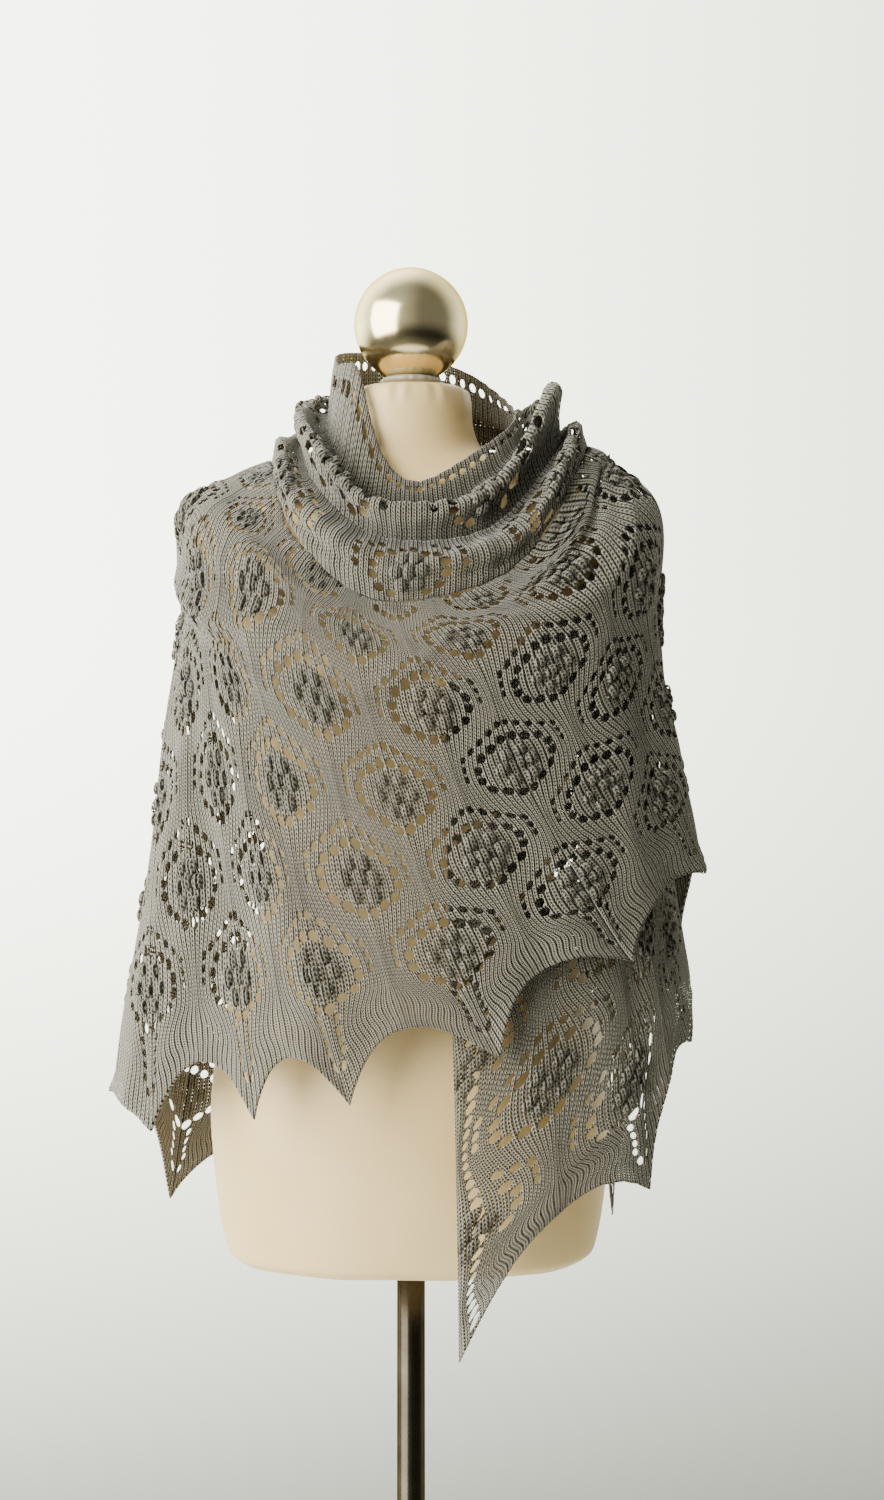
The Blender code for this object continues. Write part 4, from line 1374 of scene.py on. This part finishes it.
def dress_mesh(mesh: bpy.types.Mesh, flat: Array, laid: Array, openness: Array,
               cluster_row: int = CLUSTER_CELL, across: Optional[Array] = None) -> None:
    """Lay a flat mesh in place, with its stitch map, its openness and the painted shade round its clusters.

    Args:
        mesh: the flat mesh.
        flat: its flat points.
        laid: the points in place.
        openness: how wide the gaps between the stitches are, 0 to 1.
        cluster_row: the row of the clusters, in cells.
        across: real length along the rows, where it isn't the flat chart's.
    """
    write_points(mesh, laid)
    layer = mesh.uv_layers.new(name="stitch")
    corners = np.zeros(len(mesh.loops), np.int32)
    mesh.loops.foreach_get("vertex_index", corners)
    along = flat[:, 0] if across is None else across
    stitches = np.stack([along * STITCHES_ACROSS / REPEAT_WIDTH,
                         flat[:, 1] * STITCHES_UP / REPEAT_HEIGHT], axis=1)
    layer.data.foreach_set("uv", stitches[corners].astype(np.float32).ravel())
    place = flat[:, 0] / REPEAT_WIDTH
    row = flat[:, 1] / REPEAT_HEIGHT - cluster_row / CELLS_UP
    beside = np.abs(place - np.round(place))
    above = np.abs(row - np.round(row))
    nearest = np.minimum(np.hypot(beside, above), np.hypot(0.5 - beside, 0.5 - above))
    # Painted shade round each cluster of bobbles, fading out towards the hem.
    painted_shade = 1 - smooth_step(nearest, *CLUSTER_PAINTED_SHADE)
    if cluster_row == CLUSTER_CELL:
        painted_shade *= smooth_step(flat[:, 1] / REPEAT_HEIGHT, *HEM_PAINTED_SHADE)
    for name, values in (("open", openness), ("painted_shade", painted_shade)):
        attribute = mesh.attributes.new(name, "FLOAT", "POINT")
        attribute.data.foreach_set("value", values.astype(np.float32))
    mesh.update()


def lattice_openness(place: Array, row: Array, base: float) -> Array:
    """More open round the lanterns and closer in the fans between them."""
    around = np.cos(2 * np.pi * place) * np.cos(2 * np.pi * (row - CLUSTER_CELL / CELLS_UP))
    return np.clip(base + 0.28 * around + 0.10 * np.sin(place * 9.1 + row * 5.3), 0.0, 1.0)


@dataclass
class Stretch:
    """One stretch of the wound shawl, from the hem to its upper edge."""

    name: str
    nodes: tuple
    first: float
    last: float
    top_drop: float
    flat_size: tuple
    flat_area: float
    openness: float = 0.45
    ladder: tuple = ()
    tip_curl: float = 0.004
    flare: float = 0.0
    flare_place: float = 0.0

    def top_row(self, drape: Drape) -> Callable[[Array], Array]:
        """The row at which each column ends."""
        return lambda place: (drape.hem_drop(place) - self.top_drop) / REPEAT_HEIGHT

    def build(self, drape: Drape, materials: Sequence[bpy.types.Material]) -> bpy.types.Object:
        """Args:
            drape: the surface that it lies on.
            materials: the wool and the bobbles' wool.

        Returns:
            The finished piece.
        """
        chart = LaceChart(self.name, self.first, self.last, self.top_row(drape),
                          ladder_columns=self.ladder)
        mesh = chart.build()
        flat = read_points(mesh)
        laid = self.lay(drape, flat)
        openness = lattice_openness(flat[:, 0] / REPEAT_WIDTH, flat[:, 1] / REPEAT_HEIGHT, self.openness)
        across = drape.hem_arc(flat[:, 0] / REPEAT_WIDTH)
        dress_mesh(mesh, flat, laid, openness, across=across)
        piece = add_piece(mesh, self.name, materials)
        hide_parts(*self.nodes)
        return piece

    def lay(self, drape: Drape, flat: Array) -> Array:
        """Points of the stretch in place, for points of its flat chart.

        Args:
            drape: the surface that it lies on.
            flat: the flat points.

        Returns:
            The points.
        """
        place, row = warp(flat[:, 0] / REPEAT_WIDTH, flat[:, 1] / REPEAT_HEIGHT)
        place = np.clip(place, self.first, self.last)
        drop = drape.row_drop(place, row)
        azimuth = drape.column_azimuth(place, drop)
        lift = CLOTH_LIFT + flat[:, 2] + self.edge_lift(place, row)
        return drape.lay(azimuth, drop, lift, self.top_drop == 0.0)

    def edge_lift(self, place: Array, row: Array) -> Array:
        """How the points of the hem curl away from the cloth.

        Args:
            place: places along the hem.
            row: rows of knitting, in repeats.

        Returns:
            How far each point moves out.
        """
        tip = np.exp(-((place - np.round(place)) / 0.16) ** 2)
        near = 1 - smooth_step(row, 0.0, 0.22)
        wave = 0.0016 * np.sin(2 * np.pi * place * 1.5 + 0.7) * near
        flare = np.exp(-((place - self.flare_place) / 1.1) ** 2) * (1 - smooth_step(row, 0.0, 1.6))
        return self.tip_curl * tip * near * near + wave + self.flare * flare


@dataclass
class CowlBand:
    """One band of the gathered neck: a ring of lace between two loops."""

    name: str
    node: str
    first: int
    last: int
    repeats: int
    rows: int
    flat_size: tuple
    lanterns: bool
    half_lanterns: bool
    cluster_row: int
    ladder_rows: tuple = ()

    def build(self, form: DressFormShape, cowl: CowlShape,
              materials: Sequence[bpy.types.Material]) -> bpy.types.Object:
        """Args:
            form: the skin that it stays clear of.
            cowl: the surface that it lies on.
            materials: the wool and the bobbles' wool.

        Returns:
            The finished piece.
        """
        height = self.rows / CELLS_UP
        chart = LaceChart(self.name, 0.0, float(self.repeats),
                          lambda place: np.full(len(place), height), cluster_row=self.cluster_row,
                          lowest_lantern=0.0, lanterns=self.lanterns,
                          half_lanterns=self.half_lanterns, ladder_rows=self.ladder_rows,
                          thick_edges=False)
        mesh = chart.build()
        flat = read_points(mesh)
        azimuth = 180.0 + flat[:, 0] / REPEAT_WIDTH / self.repeats * 360.0
        place = self.last - flat[:, 1] / (height * REPEAT_HEIGHT) * (self.last - self.first)
        facing = cowl.normal(azimuth, place)
        ripple = 0.0010 * np.sin(np.radians(azimuth) * 37.0 + place * 2.0)
        roll = smooth_step(place, 0.3, 1.0) * (1 - smooth_step(place, 4.0, 4.7))
        ripple -= 0.0040 * np.cos(np.pi * (place - 1.0)) * roll
        lift = CLOTH_LIFT + flat[:, 2] + ripple + cowl.crease(azimuth, place)
        laid = form.clear(cowl.plain(azimuth, place) + facing * lift[:, None])
        dress_mesh(mesh, flat, laid, np.full(len(flat), COWL_OPENNESS), self.cluster_row)
        # Painted shade in the cowl's valleys and on its right front.
        self._paint_valley_shade(mesh, azimuth, place)
        self._close(mesh)
        piece = add_piece(mesh, self.name, materials)
        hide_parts(self.node)
        return piece

    def _paint_valley_shade(self, mesh: bpy.types.Mesh, azimuth: Array, place: Array) -> None:
        """Paint shade into the wool's colour in the valleys between the rolls, and most on the cowl's right
        front.

        Args:
            mesh: the band.
            azimuth: azimuths in degrees.
            place: places down the cowl, counted in loops.
        """
        valley = np.exp(-((place - 1.1) / 0.40) ** 2) + np.exp(-((place - 3.0) / 0.42) ** 2)
        turn = (azimuth - 35.0 + 180.0) % 360.0 - 180.0
        # Painted shade: the valleys between the rolls, and the right front, which turns away from the
        # window light.
        dark = np.clip(valley + 0.75 * np.exp(-(turn / 46.0) ** 2), 0.0, 1.6)
        values = np.zeros(len(place), np.float32)
        attribute = mesh.attributes["painted_shade"]
        attribute.data.foreach_get("value", values)
        attribute.data.foreach_set("value", np.maximum(values, dark).astype(np.float32))

    def _close(self, mesh: bpy.types.Mesh) -> None:
        """Join the two ends of the ring, and drop the end walls between them.

        Args:
            mesh: the band.
        """
        shape = bmesh.new()
        shape.from_mesh(mesh)
        ends = [v for v in shape.verts if v.co.y > 0 and abs(v.co.x) < 0.0005]
        bmesh.ops.remove_doubles(shape, verts=ends, dist=0.00002)
        inner = [face for face in shape.faces
                 if sum(len(edge.link_faces) > 2 for edge in face.edges) > 1]
        bmesh.ops.delete(shape, geom=inner, context="FACES")
        shape.to_mesh(mesh)
        shape.free()


@dataclass
class HiddenLining:
    """The plain upper part of the inner turn, under the cloth that crosses over it."""

    name: str
    node: str
    first: float
    last: float
    top_drop: float
    low_drop: float

    def build(self, drape: Drape, materials: Sequence[bpy.types.Material]) -> bpy.types.Object:
        """Args:
            drape: the surface that it lies on.
            materials: the wool and the bobbles' wool.

        Returns:
            The finished piece.
        """
        height = self.low_drop - self.top_drop
        width = (self.last - self.first) * REPEAT_WIDTH
        top_row = height / REPEAT_HEIGHT
        chart = LaceChart(self.name, self.first, self.last,
                          lambda place: np.full(len(place), top_row), lanterns=False,
                          thick_edges=False)
        mesh = chart.build()
        flat = read_points(mesh)
        place = flat[:, 0] / REPEAT_WIDTH
        drop = self.low_drop - flat[:, 1]
        azimuth = drape.column_azimuth(place, drop)
        laid = drape.lay(azimuth, drop, CLOTH_LIFT + flat[:, 2], False)
        dress_mesh(mesh, flat, laid, np.full(len(flat), HIDDEN_OPENNESS))
        piece = add_piece(mesh, self.name, materials)
        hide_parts(self.node)
        HIDDEN_AREA_SHARE * width * height
        return piece


@dataclass
class DressForm:
    """The padded form: torso, gathered cap and ball."""

    segments: int = 128
    rings: int = 150
    cap_radius: float = 0.028
    cap_bottom: float = 1.5124
    ball_radius: float = 0.053
    ball_height: float = 1.571

    def build(self, shape: DressFormShape, satin: bpy.types.Material, pad: bpy.types.Material,
              brass: bpy.types.Material) -> None:
        """Build the torso, its cap and the ball on top.

        Args:
            shape: the form's skin.
            satin: the cloth of the form.
            pad: the cloth of the cap.
            brass: the ball's metal.
        """
        self._torso(shape, satin)
        self._cap(pad)
        self._ball(brass)

    def _torso(self, shape: DressFormShape, satin: bpy.types.Material) -> None:
        """A ball of faces drawn out through the rows of the form's table, with its wrinkles.

        Args:
            shape: the form's skin.
            satin: its cloth.
        """
        skin = bmesh.new()
        bmesh.ops.create_uvsphere(skin, u_segments=self.segments, v_segments=self.rings, radius=1.0)
        mesh = mesh_of(skin, "torso")
        points = read_points(mesh)
        last = len(FORM_SECTIONS) - 1
        latitude = np.arcsin(np.clip(points[:, 2], -1.0, 1.0)) / math.pi + 0.5
        place = np.clip((latitude * self.rings - 1) / (self.rings - 2), 0.0, 1.0) * last
        azimuth = np.degrees(np.arctan2(points[:, 0], -points[:, 1]))
        laid = shape.point(azimuth, place)
        angle = np.radians(azimuth)
        pleat = np.sin(angle * 17.0 + 1.3 * np.sin(angle * 3.0)) + 0.6 * np.sin(angle * 29.0 + 2.0)
        near = smooth_step(laid[:, 2], 1.484, 1.509)
        pinch = 1 - 0.022 * near * (0.5 + 0.5 * pleat)
        soft = 0.0012 * np.sin(angle * 5.0 + 2.0) * (1 - smooth_step(laid[:, 2], 0.712, 0.75))
        laid[:, 0] *= pinch
        laid[:, 1] *= pinch
        laid[:, 2] += np.abs(soft)
        pole = np.abs(latitude - 0.5) > 0.4999
        laid[pole, :2] = 0.0
        write_points(mesh, laid)
        mesh.update()
        piece = add_piece(mesh, "torso", [satin])
        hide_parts("form_body")

    def _cap(self, satin: bpy.types.Material) -> None:
        """The gathered pad between the neck and the ball.

        Args:
            satin: its cloth.
        """
        pad = bmesh.new()
        bmesh.ops.create_uvsphere(pad, u_segments=96, v_segments=24, radius=1.0)
        mesh = mesh_of(pad, "neck_cap")
        points = read_points(mesh)
        angle = np.arctan2(points[:, 0], -points[:, 1])
        out = np.hypot(points[:, 0], points[:, 1])
        pleat = np.sin(angle * 16.0 + np.sin(angle * 3.0)) + 0.5 * np.sin(angle * 27.0)
        reach = self.cap_radius * (1 + 0.018 * pleat * out)
        laid = points * np.stack([reach, reach, np.full(len(reach), 0.0058)], axis=1)
        middle = self.cap_bottom + 0.0062
        laid[:, 2] += middle
        under = self.ball_height - 0.0004 - np.sqrt(
            np.maximum(self.ball_radius ** 2 - laid[:, 0] ** 2 - laid[:, 1] ** 2, 0.0))
        laid[:, 2] = np.minimum(laid[:, 2], under)
        write_points(mesh, laid)
        mesh.update()
        piece = add_piece(mesh, "neck_cap", [satin])
        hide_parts("form_neck_cap")

    def _ball(self, brass: bpy.types.Material) -> None:
        """The polished ball.

        Args:
            brass: its metal.
        """
        ball = bmesh.new()
        bmesh.ops.create_uvsphere(ball, u_segments=96, v_segments=48, radius=self.ball_radius)
        bmesh.ops.translate(ball, verts=ball.verts, vec=(0.0, 0.0, self.ball_height))
        piece = add_piece(mesh_of(ball, "ball"), "ball", [brass])
        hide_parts("form_ball")


@dataclass
class Stand:
    """The pole and the round base."""

    pole_radius: float = 0.013
    pole_low: float = 0.0164
    pole_high: float = 0.7046
    base_radius: float = 0.165
    base_height: float = 0.016
    chamfer: float = 0.0006

    def build(self, metal: bpy.types.Material) -> None:
        """Turn the pole and the base.

        Args:
            metal: their dark metal.
        """
        self._turn("pole", "stand_pole", [
            (0.0, self.pole_high), (self.pole_radius - self.chamfer, self.pole_high),
            (self.pole_radius, self.pole_high - self.chamfer), (self.pole_radius, 0.075),
            (self.pole_radius, self.pole_low + self.chamfer),
            (self.pole_radius - self.chamfer, self.pole_low), (0.0, self.pole_low)], 64, metal)
        rim = [(self.base_radius - 0.006 + 0.006 * math.sin(step * math.pi / 12),
                self.base_height - 0.0075 + 0.005 * math.cos(step * math.pi / 12))
               for step in range(7)]
        self._turn("base", "stand_base", [
            (0.0, self.base_height), (0.030, self.base_height - 0.0002),
            (0.110, self.base_height - 0.0012), *rim,
            (self.base_radius, 0.0012), (self.base_radius - 0.0012, 0.0), (0.0, 0.0)], 128, metal)

    def _turn(self, name: str, node: str, profile: Sequence[tuple], steps: int,
              metal: bpy.types.Material) -> None:
        """Spin a profile round the pole's axis into a closed piece.

        Args:
            name: the piece's name.
            node: the solid that it replaces.
            profile: pairs of radius and height, from the axis and back to it.
            steps: faces round the axis.
            metal: its metal.
        """
        shape = bmesh.new()
        points = [shape.verts.new((radius, 0.0, height)) for radius, height in profile]
        edges = [shape.edges.new(pair) for pair in zip(points, points[1:])]
        bmesh.ops.spin(shape, geom=points + edges, cent=(0.0, 0.0, 0.0), axis=(0.0, 0.0, 1.0),
                       angle=2 * math.pi, steps=steps, use_merge=True)
        bmesh.ops.remove_doubles(shape, verts=shape.verts, dist=0.00001)
        bmesh.ops.recalc_face_normals(shape, faces=shape.faces)
        piece = add_piece(mesh_of(shape, name), name, [metal])
        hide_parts(node)


@dataclass
class Studio:
    """The floor, the light and the camera at the photo's angle."""

    camera_place: tuple = (0.0288, -2.2, 1.176)
    metres_per_pixel: float = 0.00093
    image_height: int = 1500
    backdrop: tuple = (0.97, 1.0, 0.84)
    # columns: axis, from, to, strength at each; the rows are multiplied
    room: tuple = (
        ("Y", -0.3, 0.9, 0.36, 4.6),  # the wall behind, brighter than the viewer's side
        ("X", -0.30, 0.40, 1.40, 0.48),  # its brighter left
        ("Z", -0.42, 0.06, 0.05, 1.05),  # its dim foot
        ("Z", -0.75, -0.40, 9.0, 1.0),  # the ground
    )
    floor_radius: float = 1.35
    window_place: tuple = (-2.6, -1.7, 1.9)
    window_aim: tuple = (0.0, 0.0, 1.15)
    window_size: float = 3.4
    window_power: float = 420.0
    window_colour: tuple = (1.0, 0.99, 0.93)
    sensor_width: float = 36.0

    def build(self, floor: bpy.types.Material) -> None:
        """Make the floor, the lights and the camera.

        Args:
            floor: the floor's material.
        """
        self._floor(floor)
        self._world()
        self._window()
        self._camera()

    def _floor(self, material: bpy.types.Material) -> None:
        """A round pale floor under the stand.

        Args:
            material: the floor's material.
        """
        shape = bmesh.new()
        bmesh.ops.create_circle(shape, cap_ends=True, segments=96, radius=self.floor_radius)
        mesh = mesh_of(shape, "floor")
        mesh.materials.append(material)
        obj = bpy.data.objects.new("floor", mesh)
        bpy.context.scene.collection.objects.link(obj)

    def _world(self) -> None:
        """A pale room: bright towards the wall, dimmer on the viewer's side and to the right."""
        world = bpy.data.worlds.new("pale_room")
        world.use_nodes = True
        tree = world.node_tree
        background = tree.nodes["Background"]
        way = tree.nodes.new("ShaderNodeTexCoord").outputs["Generated"]
        parts = tree.nodes.new("ShaderNodeSeparateXYZ")
        tree.links.new(way, parts.inputs[0])
        strength = None
        for axis, low, high, dim, bright in self.room:
            ramp = tree.nodes.new("ShaderNodeMapRange")
            ramp.interpolation_type = "SMOOTHSTEP"
            tree.links.new(parts.outputs[axis], ramp.inputs["Value"])
            ends = {"From Min": low, "From Max": high, "To Min": dim, "To Max": bright}
            for key, value in ends.items():
                ramp.inputs[key].default_value = value
            if strength is None:
                strength = ramp.outputs[0]
                continue
            product = tree.nodes.new("ShaderNodeMath")
            product.operation = "MULTIPLY"
            tree.links.new(strength, product.inputs[0])
            tree.links.new(ramp.outputs[0], product.inputs[1])
            strength = product.outputs[0]
        tree.links.new(strength, background.inputs["Strength"])
        background.inputs["Color"].default_value = (*self.backdrop, 1.0)
        bpy.context.scene.world = world

    def _window(self) -> None:
        """A square soft light at the viewer's left, aimed at the shawl."""
        data = bpy.data.lights.new("window", "AREA")
        data.shape = "SQUARE"
        data.size = self.window_size
        data.energy = self.window_power
        data.color = self.window_colour
        obj = bpy.data.objects.new("window", data)
        obj.location = self.window_place
        way = Vector(self.window_aim) - Vector(self.window_place)
        obj.rotation_mode = "QUATERNION"
        obj.rotation_quaternion = way.to_track_quat("-Z", "Y")
        bpy.context.scene.collection.objects.link(obj)

    def _camera(self) -> None:
        """The camera, level, at the height of the photo's middle."""
        data = bpy.data.cameras.new("camera")
        data.sensor_width = self.sensor_width
        half = self.image_height / 2 * self.metres_per_pixel / -self.camera_place[1]
        data.lens = data.sensor_width / 2 / half
        data.clip_start = 0.05
        obj = bpy.data.objects.new("camera", data)
        obj.location = self.camera_place
        obj.rotation_euler = (math.radians(90.0), 0.0, 0.0)
        bpy.context.scene.collection.objects.link(obj)
        bpy.context.scene.camera = obj


STRETCHES = [
    Stretch("inner_wing", ("shawl_under_wing", "shawl_inner_side"), 0.0, 4.0, 0.240,
            (0.45, 0.42), 0.17, openness=0.92, ladder=((2, 2),), tip_curl=0.003),
    Stretch("back_lace", ("shawl_back_panel",), 4.0, 7.0, 0.0, (0.45, 0.72), 0.25),
    Stretch("front_lace", ("shawl_left_side", "shawl_front_left", "shawl_front_right"), 7.0, 13.0,
            0.0, (0.74, 0.62), 0.34, openness=0.66),
    Stretch("right_side_and_tail", ("shawl_right_side", "shawl_back_tail"), 13.0, 18.0, 0.0,
            (0.55, 0.55), 0.22, openness=0.50, ladder=((-2, 2),),
            flare=0.016, flare_place=14.6),
]
COWL_BANDS = [
    CowlBand("collar_band", "cowl_collar", 0, 1, 4, 9, (0.55, 0.045), False, False, 0,
             ladder_rows=((6, 2),)),
    CowlBand("upper_roll", "cowl_upper_roll", 1, 3, 5, 13, (0.70, 0.075), True, False, 6),
    CowlBand("lower_roll", "cowl_lower_roll", 3, 5, 6, 14, (0.86, 0.07), True, False, 6),
]
HIDDEN = [
    HiddenLining("hidden_wing_top", "shawl_under_wing_top", 0.0, 2.0, 0.110, 0.240),
    HiddenLining("hidden_side_top", "shawl_inner_side_top", 2.0, 4.0, 0.040, 0.300),
]


def main() -> None:
    """Build every piece in order, and report each one."""
    logging.basicConfig(level=logging.INFO, format="%(message)s")
    form = DressFormShape()
    cowl = CowlShape()
    drape = Drape(form, cowl)
    wool = [YarnFinish().build(), BobbleFinish().build()]
    satin = SatinFinish().build()
    pad = SatinFinish("cap_satin", (0.33, 0.32, 0.25, 1.0), (0.48, 0.47, 0.38, 1.0)).build()
    brass = MetalFinish("champagne_brass", (0.84, 0.68, 0.38, 1.0), (0.98, 0.84, 0.56, 1.0), 0.13,
                        (0.50, 0.40, 0.22, 1.0)).build()
    dark = MetalFinish("dark_chrome", (0.040, 0.033, 0.024, 1.0), (0.070, 0.058, 0.042, 1.0), 0.18,
                       (0.30, 0.27, 0.22, 1.0)).build()
    for stretch in STRETCHES:
        piece = stretch.build(drape, wool)
        LOG.info("%s: %d faces", piece.name, len(piece.data.polygons))
    for band in COWL_BANDS:
        piece = band.build(form, cowl, wool)
        LOG.info("%s: %d faces", piece.name, len(piece.data.polygons))
    for lining in HIDDEN:
        piece = lining.build(drape, wool)
        LOG.info("%s: %d faces", piece.name, len(piece.data.polygons))
    DressForm().build(form, satin, pad, brass)
    LOG.info("dress form built")
    Stand().build(dark)
    LOG.info("stand built")
    Studio().build(FloorFinish().build())
    LOG.info("studio built")


if __name__ == "__main__":
    main()
